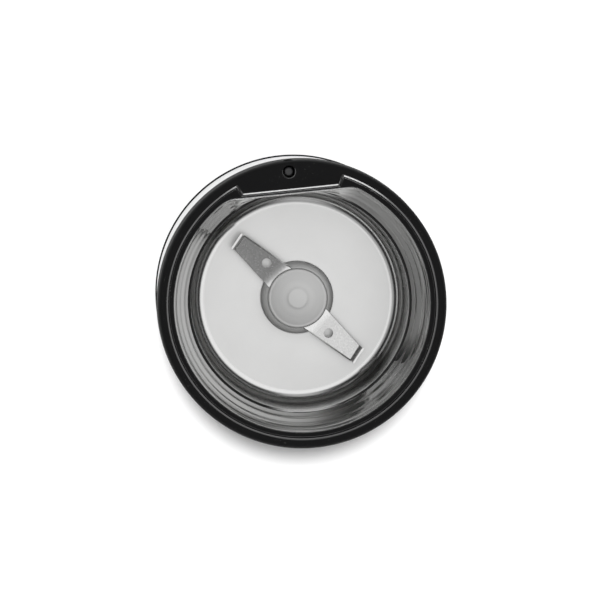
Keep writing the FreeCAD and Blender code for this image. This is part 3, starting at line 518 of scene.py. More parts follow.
class Shade(Tree):
    """Nodes of one new material or world."""

    def __init__(self, name, kind="materials"):
        self.owner = getattr(bpy.data, kind).new(name)
        self.owner.use_nodes = True
        self.owner.node_tree.nodes.clear()
        super().__init__(self.owner.node_tree)
        self.object = self.node("ShaderNodeTexCoord", out="Object")

    def axes(self):
        """X, Y and Z of the object coordinates."""
        split = self.node("ShaderNodeSeparateXYZ", {"Vector": self.object})
        return [split.beside(i) for i in range(3)]

    def noise(self, scale, detail, vector=None, rough=0.5):
        return self.node("ShaderNodeTexNoise", {
            "Vector": vector or self.object, "Scale": scale, "Detail": detail, "Roughness": rough})

    def between(self, value, start, end):
        """0 below start and 1 above end, smooth in between."""
        return self.node("ShaderNodeMapRange", {"Value": value, "From Min": start, "From Max": end},
                         interpolation_type="SMOOTHSTEP")

    def mix(self, share, first, second):
        """Blend of two colours; 6 and 7 are the node's colour inputs, and 2 its colour output."""
        first, second = [(*c[:3], 1.0) if isinstance(c, (tuple, list)) else c for c in (first, second)]
        return self.node("ShaderNodeMix", {0: share, 6: first, 7: second}, 2, data_type="RGBA")

    def tint(self, base, factor):
        """Base colour made lighter or darker by a varying factor round 1."""
        dark = [c * 0.6 for c in base]
        light = [min(1.0, c * 1.4) for c in base]
        return self.mix((factor - 0.6) / 0.8, dark, light)

    def bump(self, height, strength, distance):
        return self.node("ShaderNodeBump", {"Height": height, "Strength": strength, "Distance": distance})

    def surface(self, **sockets):
        """Ends the material in a Principled shader with the named sockets."""
        inputs = {key.replace("_", " "): value for key, value in sockets.items()}
        return self.output(self.node("ShaderNodeBsdfPrincipled", inputs))

    def output(self, shader, kind="ShaderNodeOutputMaterial"):
        self.node(kind, {"Surface": shader})
        return self.owner


RING_INPUTS = {
    "Unit": "Geometry", "Count": "Int", "Radius": "Float", "First angle": "Float",
    "Step": "Float", "Change of step": "Float", "Material": "Material",
}


def ring_tree(name):
    """Geometry Nodes that repeat the piece's own mesh round the axis."""
    group = bpy.data.node_groups.new(name, "GeometryNodeTree")
    for label, kind in RING_INPUTS.items():
        group.interface.new_socket(name=label, in_out="INPUT", socket_type="NodeSocket" + kind)
    group.interface.new_socket(name="Ring", in_out="OUTPUT", socket_type="NodeSocketGeometry")
    tree = Tree(group)
    given = tree.node("NodeGroupInput")
    unit, count, radius, first, step, change, material = [given.beside(label) for label in RING_INPUTS]
    index = tree.node("GeometryNodeInputIndex")
    turn = first + index * step + index * (index - 1) * change * 0.5
    points = tree.node("GeometryNodeMeshLine", {"Count": count, "Offset": (0, 0, 0)})
    moved = tree.node("GeometryNodeTransform", {"Geometry": unit, "Translation": tree.vector(radius, 0, 0)})
    copies = tree.node("GeometryNodeInstanceOnPoints", {
        "Points": points, "Instance": moved, "Rotation": tree.vector(0, 0, turn)})
    real = tree.node("GeometryNodeRealizeInstances", {"Geometry": copies})
    coated = tree.node("GeometryNodeSetMaterial", {"Geometry": real, "Material": material})
    tree.node("NodeGroupOutput", {"Ring": coated})
    return group


def repeated(unit, slot, sizes):
    """Turns a unit piece into a ring of copies; sizes are the tree's inputs by name."""
    group = ring_tree(unit.name + "_ring")
    modifier = unit.modifiers.new("ring", "NODES")
    modifier.node_group = group
    given = {**sizes, "Material": material_for(slot)}
    for item in group.interface.items_tree:
        if item.in_out == "INPUT" and item.name in given:
            modifier[item.identifier] = given[item.name]
    return applied(unit)


def even_ring(count, radius, first=0.0):
    """Inputs for copies that are evenly spaced."""
    return {"Count": count, "Radius": radius, "First angle": first, "Step": TAU / count,
            "Change of step": 0.0}


def foot_ring(under):
    """Inputs for the ring of feet, or of their pockets."""
    return even_ring(under.foot_count, foot_place(under), math.pi / under.foot_count)


def foot_place(under):
    """Distance from the axis to the middle of a foot."""
    return high("base_plate").x + 2 * MM - under.foot_in


def screw_ring(under):
    """Inputs for the ring of three screws, or of their recesses."""
    return {"Count": 3, "Radius": under.screw_at, "First angle": under.screw_first, "Step": under.screw_step,
            "Change of step": under.screw_change}


# Materials

def moulded(name, base, rough, grain=0.5, shine=0.5, ior=1.5):
    """Moulded plastic with a fine spark-eroded grain and a little dust."""
    shade = Shade(name)
    fine = shade.noise(9000.0, 2.0)
    broad = shade.noise(160.0, 4.0)
    dust = shade.between(shade.noise(1900.0, 2.0), 0.66, 0.74) * shade.between(broad, 0.45, 0.7)
    speck = shade.mix(dust * 0.35, shade.tint(base, 0.85 + broad * 0.3), (0.16, 0.16, 0.155))
    return shade.surface(
        Base_Color=speck, Roughness=rough - 0.06 + broad * 0.12 + dust * 0.2,
        Specular_IOR_Level=shine, IOR=ior, Normal=shade.bump(fine, grain, 0.00002))


def soft_rubber(name, base):
    shade = Shade(name)
    cloud = shade.noise(420.0, 5.0)
    return shade.surface(
        Base_Color=shade.tint(base, 0.8 + cloud * 0.4), Roughness=0.62 + cloud * 0.25,
        Normal=shade.bump(shade.noise(5200.0, 3.0), 0.5, 0.00004))


def spun(shade, across, along):
    """Distance from the axis, height, and fine turning rings about the axis."""
    x, y, z = shade.axes()
    radius = (x * x + y * y) ** 0.5
    return radius, z, shade.noise(1.0, 4.0, shade.vector(radius * across, z * along, 0.0))


def bowl_steel(name, base):
    """Pressed steel: polished wall, satin spun floor and raised centre."""
    bowl = bpy.context.scene.grinder_bowl
    shade = Shade(name)
    radius, z, rings = spun(shade, 5200.0, 3600.0)
    floor_r = bowl.wall_low - bowl.floor_round
    step_z = RIM_Z - bowl.step_deep
    satin = 1 - shade.between(z, step_z - 1.2 * MM, step_z - 0.2 * MM)
    on_floor = 1 - shade.between(radius, floor_r - 0.2 * MM, floor_r + 0.9 * MM)
    on_boss = 1 - shade.between(radius, bowl.boss_low - 0.1 * MM, bowl.boss_low + 0.5 * MM)
    cloud = shade.noise(95.0, 3.0)
    smear = shade.noise(260.0, 5.0, rough=0.62)
    rough = (0.015 + satin * 0.15 + on_floor * 0.12 + on_boss * 0.16 + cloud * 0.015
             + rings * on_floor * 0.05 + smear * 0.015)
    return shade.surface(
        Base_Color=shade.tint(base, 0.93 + cloud * 0.1 + rings * 0.06), Metallic=1.0, Roughness=rough,
        Normal=shade.bump(rings * (satin * 0.9 + 0.1), 0.10, 0.00002))


def blade_steel(name, base, rough):
    """Blasted steel of the wings: mottled satin."""
    shade = Shade(name)
    mottle = shade.noise(1500.0, 3.0, rough=0.6)
    broad = shade.noise(180.0, 3.0)
    return shade.surface(
        Base_Color=shade.tint(base, 0.76 + mottle * 0.44 + broad * 0.12), Metallic=1.0,
        Roughness=rough - 0.06 + mottle * 0.14, Normal=shade.bump(mottle, 0.2, 0.00004))


def ground_steel(name, base):
    """Freshly ground edge with fine lines."""
    shade = Shade(name)
    lines = shade.noise(1.0, 3.0, shade.vector(*[a * 2600.0 for a in shade.axes()]))
    return shade.surface(
        Base_Color=shade.tint(base, 0.95 + lines * 0.15), Metallic=1.0, Roughness=0.16 + lines * 0.1,
        Normal=shade.bump(lines, 0.12, 0.00002))


def turned_metal(name, base):
    """Satin metal with faint turning rings, and painted sheen that makes it paler in the middle and in one
    band.
    """
    shade = Shade(name)
    radius, _, rings = spun(shade, 4200.0, 2500.0)
    cloud = shade.noise(150.0, 3.0)
    # Painted sheen: a paler centre and a paler ring stand for the light on the domed cap.
    middle = 1 - shade.between(radius, 2.7 * MM, 3.5 * MM)
    band = shade.between(radius, 3.6 * MM, 4.4 * MM) - shade.between(radius, 4.8 * MM, 6.2 * MM)
    painted_sheen = middle * 0.10 + band * 0.05
    return shade.surface(
        Base_Color=shade.tint(base, 0.88 + rings * 0.1 + cloud * 0.08 + painted_sheen), Metallic=1.0,
        Roughness=0.38 + rings * 0.1 + cloud * 0.05, Normal=shade.bump(rings, 0.15, 0.00002))


def brushed_steel(name, base):
    """Sheet steel brushed round the body."""
    shade = Shade(name)
    x, y, z = shade.axes()
    lines = shade.noise(1.0, 5.0, shade.vector(x * 14.0, y * 14.0, z * 5200.0), rough=0.6)
    cloud = shade.noise(22.0, 3.0)
    return shade.surface(
        Base_Color=shade.tint(base, 0.88 + lines * 0.18 + cloud * 0.06), Metallic=1.0,
        Roughness=0.26 + lines * 0.12 + cloud * 0.04, Normal=shade.bump(lines, 0.22, 0.00003))


def plated_metal(name, base, rough, metallic=1.0):
    shade = Shade(name)
    cloud = shade.noise(300.0, 4.0)
    fine = shade.noise(3000.0, 2.0)
    return shade.surface(
        Base_Color=shade.tint(base, 0.85 + cloud * 0.3), Metallic=metallic,
        Roughness=rough + cloud * 0.12, Normal=shade.bump(fine, 0.2, 0.00002))


def ridges(shade, rate):
    """Even waves up the axis, from 0 to 1."""
    return (shade.axes()[2] * rate).sine() * 0.5 + 0.5


def wound_wire(name, base):
    """Enamelled wire: fine ridges across the winding."""
    shade = Shade(name)
    wires = ridges(shade, 9000.0)
    cloud = shade.noise(200.0, 3.0)
    return shade.surface(
        Base_Color=shade.tint(base, 0.75 + wires * 0.3 + cloud * 0.2), Metallic=0.6, Roughness=0.35,
        Normal=shade.bump(wires, 0.6, 0.0001))


def stacked_sheet(name, base):
    """Edges of thin stacked sheets."""
    shade = Shade(name)
    sheets = ridges(shade, 12566.0)
    return shade.surface(
        Base_Color=shade.tint(base, 0.7 + sheets * 0.5), Metallic=0.8, Roughness=0.45,
        Normal=shade.bump(sheets, 0.5, 0.0001))


# Each slot's material: how it is made, its name, its colour's property and its other values
FINISHES = {
    "black_plastic": (moulded, "black_grained", "black", 0.62, 0.8, 0.1),
    "black_edge": (moulded, "black_smooth", "black", 0.2, 0.2, 1.0, 2.15),
    "pin_plastic": (moulded, "pin_moulded", "pin", 0.42),
    "grey_plastic": (moulded, "grey_moulded", "grey", 0.45),
    "capacitor_case": (moulded, "capacitor_case", "capacitor", 0.4),
    "black_rubber": (soft_rubber, "rubber", "rubber"),
    "brushed_steel": (brushed_steel, "sleeve_steel", "sleeve"),
    "bowl_steel": (bowl_steel, "bowl_steel", "steel"),
    "blade_steel": (blade_steel, "blade_steel", "steel", 0.24),
    # Painted shade: a dark copy of the blade steel for the inside of the turned-up tips.
    "bend_shadow": (blade_steel, "bend_shadow", "bend", 0.4),
    # Real ground steel of the cut edges, also used as a painted highlight strip along the tips' bend.
    "ground_edge": (ground_steel, "ground_edge", "edge"),
    "satin_aluminium": (turned_metal, "cap_metal", "cap"),
    "zinc_steel": (plated_metal, "zinc_plate", "zinc", 0.3),
    "bronze": (plated_metal, "bronze", "bronze", 0.38),
    "copper_bar": (plated_metal, "copper_bar", "copper", 0.25),
    "carbon": (plated_metal, "carbon", "carbon", 0.5, 0.2),
    "copper_wire": (wound_wire, "wound_wire", "copper"),
    "lamination": (stacked_sheet, "lamination", "iron"),
}
MATERIALS = {}


def material_for(slot):
    """Material of a slot, made once."""
    if slot not in MATERIALS:
        make, name, tone, *values = FINISHES[slot]
        MATERIALS[slot] = make(name, getattr(bpy.context.scene.grinder_finish, tone), *values)
    return MATERIALS[slot]


def dress(piece, *slots):
    """Gives a piece the materials of its slots."""
    piece.data.materials.clear()
    for slot in slots:
        piece.data.materials.append(material_for(slot))


def hand_over(piece, node, body="housing"):
    """Attaches a dressed piece to its body and hides the CAD node that it stands for."""
    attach(piece, body)
    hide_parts(node)
    return {"FINISHED"}


def finished(piece, node, slot, body="housing"):
    """Dresses a piece in one finish and hands it over."""
    dress(piece, slot)
    return hand_over(piece, node, body)


# Pieces

class GRINDER_OT_fittings(bpy.types.Operator):
    """Gives every CAD node the finish of its material slot"""
    bl_idname = "grinder.fittings"
    bl_label = "Fittings and inner works"

    def execute(self, context):
        slots = {s["node"]: s["material_slot"] for s in frame["record"]["subparts"]}
        for name, node in frame["nodes"].items():
            dress(node, slots[name])
        return {"FINISHED"}


class GRINDER_OT_collar(bpy.types.Operator):
    """Builds the black collar with its ledge, land and interlock socket"""
    bl_idname = "grinder.collar"
    bl_label = "Collar"

    def execute(self, context):
        casing = context.scene.grinder_casing
        rows = collar_rows(casing, context.scene.grinder_bowl)
        collar = skin("collar_ring", rows, collar_directions(casing))
        cut_socket(collar, casing)
        dress(collar, "black_plastic", "black_edge")
        edge_r = casing.ledge_r + casing.edge_flat + casing.edge_draft
        level_from = 0.98
        for polygon in collar.data.polygons:
            inward = polygon.center.xy.length < edge_r
            polygon.material_index = int(inward and abs(polygon.normal.z) < level_from)
        return hand_over(collar, "collar")


def collar_rows(casing, bowl):
    """Up the collar's side, over its rounding, in along land and ledge, and down the skirt."""
    body = circle(BODY_R)
    side = circle(BODY_R - casing.wall_draft)
    land = land_outline(casing)
    mouth = flattened(bowl.mouth_r, bowl.mouth_chord + bowl.lip_show, bowl.mouth_corner)
    small = 0.25 * MM
    lip = 0.35 * MM
    upright = 2 * MM
    ledge_z = RIM_Z - casing.ledge_drop
    under_z = ledge_z - casing.ledge_t
    skirt_r, skirt_z = SHELL_R - casing.skirt_wall, low("collar").z
    steps = 12
    rows = arc(body, -small, SLEEVE_HIGH + small, small, -90, 0, 4)
    rows += rows_on(body, (0, SLEEVE_HIGH + upright))
    for i in range(steps + 1):
        a = math.pi / 2 * i / steps
        place = (casing.round_in * (math.cos(a) - 1), RIM_Z + casing.round_down * (math.sin(a) - 1))
        rows += rows_on(side, place)
    rows += edge_rows(casing, land)
    rows += arc(land, -small, ledge_z + small, small, 0, -90, 4)
    rows += arc(mouth, lip, ledge_z - lip, lip, 90, 180, 5)
    rows += rows_on(mouth, (0, under_z))
    return rows + turned((skirt_r, under_z), (skirt_r, skirt_z), (SHELL_R, skirt_z), (SHELL_R, SLEEVE_HIGH))


def edge_rows(casing, outline):
    """Upper inner edge: rounding, sloping flat, rounding and the drafted step."""
    run = casing.edge_flat * math.cos(casing.edge_slope)
    drop = casing.edge_flat * math.sin(casing.edge_slope)
    start = 90 + math.degrees(casing.edge_slope)
    turn = math.radians(start)
    end = 172
    soft = casing.edge_soft
    first = arc(outline, casing.edge_draft + soft + run, RIM_Z - soft, soft, 90, start, 4)
    inner, height = first[-1][1] - run, first[-1][2] - drop
    last = arc(outline, inner - soft * math.cos(turn), height - soft * math.sin(turn), soft, start, end, 4)
    return first + last


def collar_directions(casing):
    """Directions of the collar's columns, close together at the ends of the land."""
    ends = [math.pi / 2 + side * casing.land_half for side in (-1, 1)]
    close, each_side = 0.08, 20
    span = math.radians(close * (each_side + 1))
    fine = [end + math.radians(close * i) for end in ends for i in range(-each_side, each_side + 1)]
    coarse = [d for d in even_directions(480) if all(abs(d - end) > span for end in ends)]
    return sorted(fine + coarse)


def cut_socket(collar, casing):
    """Joins the pin's guide to the ledge from below, then cuts the socket and the pin's hole."""
    pin = Matrix.Translation((0, casing.ledge_r, 0))
    pin_r = (high("interlock_pushrod").x - low("interlock_pushrod").x) / 2
    play = 0.15 * MM
    socket_z = RIM_Z - casing.socket_deep
    guide_deep, under_ledge, flare, past = 14 * MM, 2.2 * MM, 0.2 * MM, 1 * MM
    guide_z = RIM_Z - guide_deep
    guide_top = RIM_Z - casing.ledge_drop - under_ledge
    combined(collar, [drill(pin_r + casing.guide_wall, guide_z, guide_top, pin)], "UNION")
    combined(collar, [drill(casing.socket_r, socket_z, RIM_Z, pin, flare),
                      drill(pin_r + play, guide_z - past, socket_z, pin)])


class GRINDER_OT_interlock_pin(bpy.types.Operator):
    """Rounds the edges of the interlock pushrod"""
    bl_idname = "grinder.interlock_pin"
    bl_label = "Interlock pin"

    def execute(self, context):
        mesh = frame["nodes"]["interlock_pushrod"].data.copy()
        work = bmesh.new()
        work.from_mesh(mesh)
        bmesh.ops.remove_doubles(work, verts=work.verts, dist=1e-6)
        bmesh.ops.dissolve_limit(work, angle_limit=math.radians(1), verts=work.verts, edges=work.edges)
        work.to_mesh(mesh)
        work.free()
        pin = linked("rounded_pin", mesh)
        bevel = pin.modifiers.new("edges", "BEVEL")
        bevel.width = 0.25 * MM
        bevel.segments = 3
        bevel.limit_method = "ANGLE"
        bevel.angle_limit = math.radians(50)
        return finished(applied(pin), "interlock_pushrod", "pin_plastic", "pushrod")


class GRINDER_OT_bowl(bpy.types.Operator):
    """Builds the pressed steel bowl with its flat-sided mouth, step and raised centre"""
    bl_idname = "grinder.bowl"
    bl_label = "Grinding bowl"

    def execute(self, context):
        bowl = context.scene.grinder_bowl
        casing = context.scene.grinder_casing
        mouth = flattened(bowl.mouth_r, bowl.mouth_chord, bowl.mouth_corner)
        step = flattened(bowl.step_upper, bowl.mouth_chord, bowl.mouth_corner)
        gap, flat_out, corner = 0.4 * MM, 3.2 * MM, 5.0 * MM
        flange = flattened(SHELL_R - casing.skirt_wall - gap, bowl.mouth_chord + flat_out, corner)
        top_z = RIM_Z - casing.ledge_drop - casing.ledge_t
        rows = rows_on(flange, (0, top_z)) + bowl_wall(bowl, mouth, step, top_z) + boss_rows(bowl)
        rows += bowl_outside(bowl, mouth, step, top_z) + rows_on(flange, (0, top_z - bowl.wall))
        return finished(skin("steel_bowl", rows, 360), "grinding_bowl", "bowl_steel")


def bowl_wall(bowl, mouth, step, top_z):
    """From the lip at the mouth down the wall, over the step's bead and round to the floor."""
    lip, lean = 0.3 * MM, 16
    bead = 0.2 * MM
    slope = math.radians(bowl.step_slope)
    step_z = RIM_Z - bowl.step_deep
    fall = (bowl.step_upper - bowl.step_lower - bead * (1 - math.sin(slope))) * math.tan(slope)
    bead_z = step_z - fall - bead * math.cos(slope)
    fillet_z = FLOOR_Z + bowl.floor_round
    lower = circle(bowl.step_lower)
    rows = arc(mouth, lip, top_z - lip, lip, 90, 180 + lean, 8)
    rows += wall_rows(mouth, step, rows[-1][2], step_z, rows[-1][1], 70, bowl.ripple)[1:]
    rows += arc(lower, bead, bead_z, bead, 90 + bowl.step_slope, 180, 6)
    rows += wall_rows(lower, circle(bowl.wall_low), bead_z, fillet_z, 0.0, 14)[1:]
    return rows + arc(circle(bowl.wall_low - bowl.floor_round), 0, fillet_z, bowl.floor_round, 0, -90, 24)[1:]


def boss_rows(bowl):
    """Over the floor, up the raised centre and in to the seal."""
    soft = 0.15 * MM
    flat_r = 9.5 * MM
    fillet_r = bowl.wall_low - bowl.floor_round
    foot_r = bowl.boss_low + soft
    boss_z = FLOOR_Z + bowl.boss_high
    edge_z = boss_z - bowl.boss_fall
    side = circle(bowl.boss_low - bowl.boss_draft)
    steps = 6
    rows = turned(*[(fillet_r + (foot_r - fillet_r) * i / steps, FLOOR_Z) for i in range(1, steps + 1)])
    rows += arc(circle(foot_r), 0, FLOOR_Z + soft, soft, -90, -170, 5)[1:]
    rows += arc(side, -bowl.boss_round, edge_z - bowl.boss_round, bowl.boss_round, 5, 62, 6)
    return rows + turned((flat_r, boss_z), (SEAL_R, boss_z))


def bowl_outside(bowl, mouth, step, top_z):
    """Under the raised centre and the floor and up the outside, a sheet's thickness away."""
    t = bowl.wall
    inset = 1.5 * MM
    boss_z = FLOOR_Z + bowl.boss_high
    step_z = RIM_Z - bowl.step_deep
    shoulder = bowl.boss_low - bowl.boss_draft - inset
    fillet_r = bowl.wall_low - bowl.floor_round
    rows = turned((SEAL_R, boss_z - t), (shoulder, boss_z - t), (bowl.boss_low - t, FLOOR_Z - t))
    rows += arc(circle(fillet_r), 0, FLOOR_Z + bowl.floor_round, bowl.floor_round + t, -90, 0, 8)
    rows += rows_on(circle(bowl.step_lower), (t, step_z - t))
    return rows + wall_rows(mouth, step, top_z - 2 * t, step_z - t, t, 14)[::-1]


def wall_rows(upper, lower, top, bottom, offset, count, ripple=0.0):
    """Rows of a wall that changes from the upper to the lower outline, with faint rolled rings."""
    rows = []
    for i in range(count + 1):
        share = i / count
        fade = smooth(share * 6) * smooth((1 - share) * 8)
        wave = math.sin(TAU * 3.3 * share + 0.6) + 0.25 * math.sin(TAU * 7.1 * share ** 0.8)
        wave += 1.6 * math.sin(TAU * 1.4 * share + 2.0)
        rows.append((blend(upper, lower, share), offset + ripple * fade * wave, top + (bottom - top) * share))
    return rows


class GRINDER_OT_sleeve(bpy.types.Operator):
    """Builds the brushed steel sleeve"""
    bl_idname = "grinder.sleeve"
    bl_label = "Outer sleeve"

    def execute(self, context):
        wall = context.scene.grinder_casing.sleeve_wall
        edge = 0.12 * MM
        body = circle(SLEEVE_R)
        rows = arc(body, -edge, SLEEVE_LOW + edge, edge, -90, 0, 3)
        rows += arc(body, -edge, SLEEVE_HIGH - edge, edge, 0, 90, 3)
        rows += rows_on(body, (-wall, SLEEVE_HIGH), (-wall, SLEEVE_LOW))
        return finished(skin("steel_sleeve", rows, 240), "outer_sleeve", "brushed_steel")


class GRINDER_OT_base(bpy.types.Operator):
    """Builds the tapered black base with the pocket for the cord inlet"""
    bl_idname = "grinder.base"
    bl_label = "Base housing"

    def execute(self, context):
        base = skin("base_shell", base_rows(context.scene.grinder_casing), 240)
        seat_y = high("cord_inlet").y - 1.0 * MM
        pocket_r, pocket_deep = 6.1 * MM, 3 * MM
        hole_r, hole_from, hole_past = 4.7 * MM, 30 * MM, 1 * MM
        combined(base, [drill(pocket_r, seat_y, seat_y + pocket_deep, AT_INLET),
                        drill(hole_r, hole_from, seat_y + hole_past, AT_INLET)])
        return finished(base, "base_housing", "black_plastic")


def base_rows(casing):
    """Down the lip and the taper to the cover's rebate, then up inside to the spigot."""
    foot_r = high("base_housing").x - casing.base_taper
    foot = circle(foot_r)
    lip = circle(high("base_housing").x + casing.lip_proud)
    lip_z = SLEEVE_LOW - casing.lip_high
    spigot_r, spigot_z = SHELL_R - casing.skirt_wall, high("base_housing").z
    plate_z, cover_z = low("base_housing").z, high("base_plate").z
    seat, ledge, rise = 2.0 * MM, 3.0 * MM, 1.5 * MM
    soft = 0.12 * MM
    edge = casing.foot_round
    taper = math.degrees(math.atan2(casing.base_taper, lip_z - plate_z))
    rows = turned((SHELL_R, SLEEVE_LOW))
    rows += arc(lip, -soft, SLEEVE_LOW - soft, soft, 90, 0, 4)
    rows += rows_on(lip, (0, lip_z))
    rows += arc(foot, -edge * 0.92, plate_z + edge, edge, -taper, -90, 6)
    rows += rows_on(foot, (-seat, plate_z), (-seat, cover_z), (-ledge, cover_z),
                    (-casing.base_wall, cover_z + rise))
    return rows + turned((spigot_r, lip_z), (spigot_r, spigot_z), (SHELL_R, spigot_z))


class GRINDER_OT_bottom_cover(bpy.types.Operator):
    """Builds the bottom cover with its cooling slots, foot pockets and screw recesses"""
    bl_idname = "grinder.bottom_cover"
    bl_label = "Bottom cover"

    def execute(self, context):
        under = context.scene.grinder_underside
        rim = high("base_plate").x
        low_z, top_z = low("base_plate").z, high("base_plate").z
        soft = 0.4 * MM
        groove_in, groove_out, groove_deep, slope = 3.4 * MM, 2.4 * MM, 0.3 * MM, 0.2 * MM
        rows = turned((0, low_z), (rim - groove_in, low_z), (rim - groove_in + slope, low_z + groove_deep),
                      (rim - groove_out - slope, low_z + groove_deep), (rim - groove_out, low_z))
        rows += arc(circle(rim), -soft, low_z + soft, soft, -90, 0, 4)
        rows += turned((rim, top_z), (0, top_z))
        cover = skin("vented_cover", rows, 180)
        combined(cover, cover_cutters(under, low_z, top_z))
        return finished(cover, "base_plate", "black_plastic")


def cover_cutters(under, low_z, top_z):
    """Cutters for the cooling slots, the foot pockets and the screw recesses."""
    play, flare = 0.15 * MM, 0.25 * MM
    below, above = low_z - 1 * MM, top_z + 1 * MM
    slot = slot_outline(under.vent_len / 2, under.vent_w / 2)
    vent = plug(slot, (flare, below), (flare, low_z), (0, low_z + flare), (0, above))
    vent_place = foot_place(under) - under.foot_r - under.vent_gap - under.vent_len / 2
    pocket = plug(circle(under.foot_r + 0.1 * MM), (0, below), (0, low_z + under.foot_sink))
    head_r, shank_r = under.head_r + play, under.shank_r + play
    seat_z = low("base_screws").z + under.head_h
    recess = turned((0, below), (head_r, below), (head_r, seat_z),
                    (shank_r, seat_z), (shank_r, above), (0, above))
    kinds = (
        ("vents", vent, 120, even_ring(under.vent_count, vent_place)),
        ("pockets", pocket, 64, foot_ring(under)),
        ("recesses", recess, 48, screw_ring(under)),
    )
    return [repeated(skin(name, rows, count), "black_plastic", ring) for name, rows, count, ring in kinds]


# Underside of a foot as radii and heights in millimetres: dimple, ring, groove and ring
FOOT_FACE = (
    (0, 0.6), (1.5, 0.6), (1.9, 0.1), (2.0, 0), (2.9, 0),
    (3.0, 0.25), (3.3, 0.25), (3.4, 0), (3.9, 0),
)


class GRINDER_OT_feet(bpy.types.Operator):
    """Builds the ring of rubber feet"""
    bl_idname = "grinder.feet"
    bl_label = "Rubber feet"

    def execute(self, context):
        under = context.scene.grinder_underside
        rim = circle(under.foot_r)
        top_z = low("base_plate").z + under.foot_sink
        soft = 1.0 * MM
        rows = turned(*[(r * MM, z * MM) for r, z in FOOT_FACE])
        rows += arc(rim, -soft, soft, soft, -80, 0, 6)
        rows += rows_on(rim, (0, top_z)) + turned((0, top_z))
        feet = repeated(skin("rubber_foot_ring", rows, 64), "black_rubber", foot_ring(under))
        return finished(feet, "rubber_feet", "black_rubber")


class GRINDER_OT_screws(bpy.types.Operator):
    """Builds the three base screws with their cross recesses and threads"""
    bl_idname = "grinder.screws"
    bl_label = "Base screws"

    def execute(self, context):
        under = context.scene.grinder_underside
        head_z = low("base_screws").z
        screw = skin("base_screw_ring", screw_rows(under, head_z), 40)
        arm = slot_outline(1.3 * MM, 0.3 * MM)
        cross = plug(arm, (0, head_z - 1 * MM), (0, head_z + 0.6 * MM), (-0.15 * MM, head_z + 1.1 * MM))
        for quarter in (0, math.pi / 2):
            tool = skin("cross", cross, 48)
            tool.data.transform(Matrix.Rotation(quarter, 4, "Z"))
            combined(screw, [tool])
        return finished(repeated(screw, "zinc_steel", screw_ring(under)), "base_screws", "zinc_steel")


def screw_rows(under, head_z):
    """Rounded head, shank with thread grooves, and end."""
    seat_z, end_z = head_z + under.head_h, high("base_screws").z
    soft, groove, point = 0.5 * MM, 0.3 * MM, 0.4 * MM
    turns = 8
    pitch = (end_z - seat_z - 2 * groove) / turns
    rows = turned((0, head_z), (under.head_r - soft, head_z))
    rows += arc(circle(under.head_r), -soft, head_z + soft, soft, -80, 0, 5)
    rows += turned((under.head_r, seat_z), (under.shank_r, seat_z))
    for i in range(turns):
        z = seat_z + groove + pitch * i
        rows += turned((under.shank_r - groove, z), (under.shank_r, z + pitch * 0.5))
    return rows + turned((under.shank_r - point, end_z), (0, end_z))


class GRINDER_OT_cord_inlet(bpy.types.Operator):
    """Builds the ribbed rubber bush for the cord"""
    bl_idname = "grinder.cord_inlet"
    bl_label = "Cord inlet"

    def execute(self, context):
        under = context.scene.grinder_underside
        hole_r, lip_r = under.inlet_r, high("cord_inlet").x
        bush_r, catch_r = lip_r - 1.3 * MM, lip_r - 0.7 * MM
        inner_y, outer_y = low("cord_inlet").y, high("cord_inlet").y
        catch_y, seat_y = inner_y + 0.8 * MM, outer_y - under.inlet_lip
        soft, mouth = 0.4 * MM, 0.5 * MM
        rib, half_rib, ribs = 0.3 * MM, 0.2 * MM, 5
        rows = turned((hole_r, inner_y), (catch_r, inner_y), (catch_r, catch_y), (bush_r, catch_y),
                      (bush_r, seat_y), (lip_r, seat_y))
        rows += arc(circle(lip_r), -soft, outer_y - soft, soft, 0, 90, 5)
        rows += arc(circle(hole_r), mouth, outer_y - mouth, mouth, 90, 180, 5)
        for i in range(1, ribs + 1):
            y = outer_y - mouth - (outer_y - inner_y - 2 * mouth) * i / (ribs + 1)
            rows += turned((hole_r, y + half_rib), (hole_r + rib, y), (hole_r, y - half_rib))
        inlet = skin("inlet_bush", rows, 72)
        inlet.data.transform(AT_INLET)
        return finished(inlet, "cord_inlet", "black_rubber")


class GRINDER_OT_blade(bpy.types.Operator):
    """Builds the two-wing blade with its turned-up tips and ground edges"""
    bl_idname = "grinder.blade"
    bl_label = "Blade"

    def execute(self, context):
        b = context.scene.grinder_blade
        headings = (b.heading, b.heading + math.pi)
        hole_aside, past = 0.35 * MM, 3 * MM
        hole = Vector((b.hole_at, hole_aside, 0))
        sharp = 18
        verts, faces, looks = [], [], []
        for heading in headings:
            add_wing(b, heading, verts, faces, looks)
        add_hub(b, verts, faces)
        piece = finish_mesh("blade_wings", verts, faces, looks, sharp)
        dress(piece, "blade_steel", "ground_edge", "bend_shadow")
        centres = [Matrix.Translation(Matrix.Rotation(heading, 4, "Z") @ hole) for heading in headings]
        drills = [drill(b.hole_r, BLADE_Z - past, BLADE_Z + past, centre) for centre in centres]
        combined(piece, drills, sharp=sharp)
        return hand_over(piece, "blade", "rotor")


def wing_section(b, width, thick):
    """Outline across a wing as side and height, from the lower trailing edge round."""
    half = width / 2
    t = b.thick / 2
    low_t = t - thick
    r = 0.14 * MM
    grind = min(b.ground, half)
    return [
        (half - r, low_t), (half, low_t + r), (half, t - r), (half - r, t),
        (-half + grind, t), (-half, t - grind * 0.8), (-half, low_t + r), (-half + r, low_t),
    ]


# Faces of that outline, and the steps along a wing
TOP_SIDE = 3
EDGE_SIDES = (1, 4, 5)
UNDER_SIDES = (0, 7)
FLAT_STEPS = 26
# Painted highlight: this many steps of the top face past the flat get the bright ground steel, as a light
# strip along the bend.
PAINTED_HIGHLIGHT_STEPS = 4


def wing_look(step, side, grind_step):
    """Material number of a face: 0 blasted, 1 ground or the painted highlight strip along the bend, 2 painted
    shade inside the turned-up tip.
    """
    # Past the flat part, the top face is first a painted highlight strip and then painted shade.
    if side == TOP_SIDE and step > FLAT_STEPS:
        return 2 if step > FLAT_STEPS + PAINTED_HIGHLIGHT_STEPS else 1
    return int(side in EDGE_SIDES or step == grind_step and side in UNDER_SIDES)


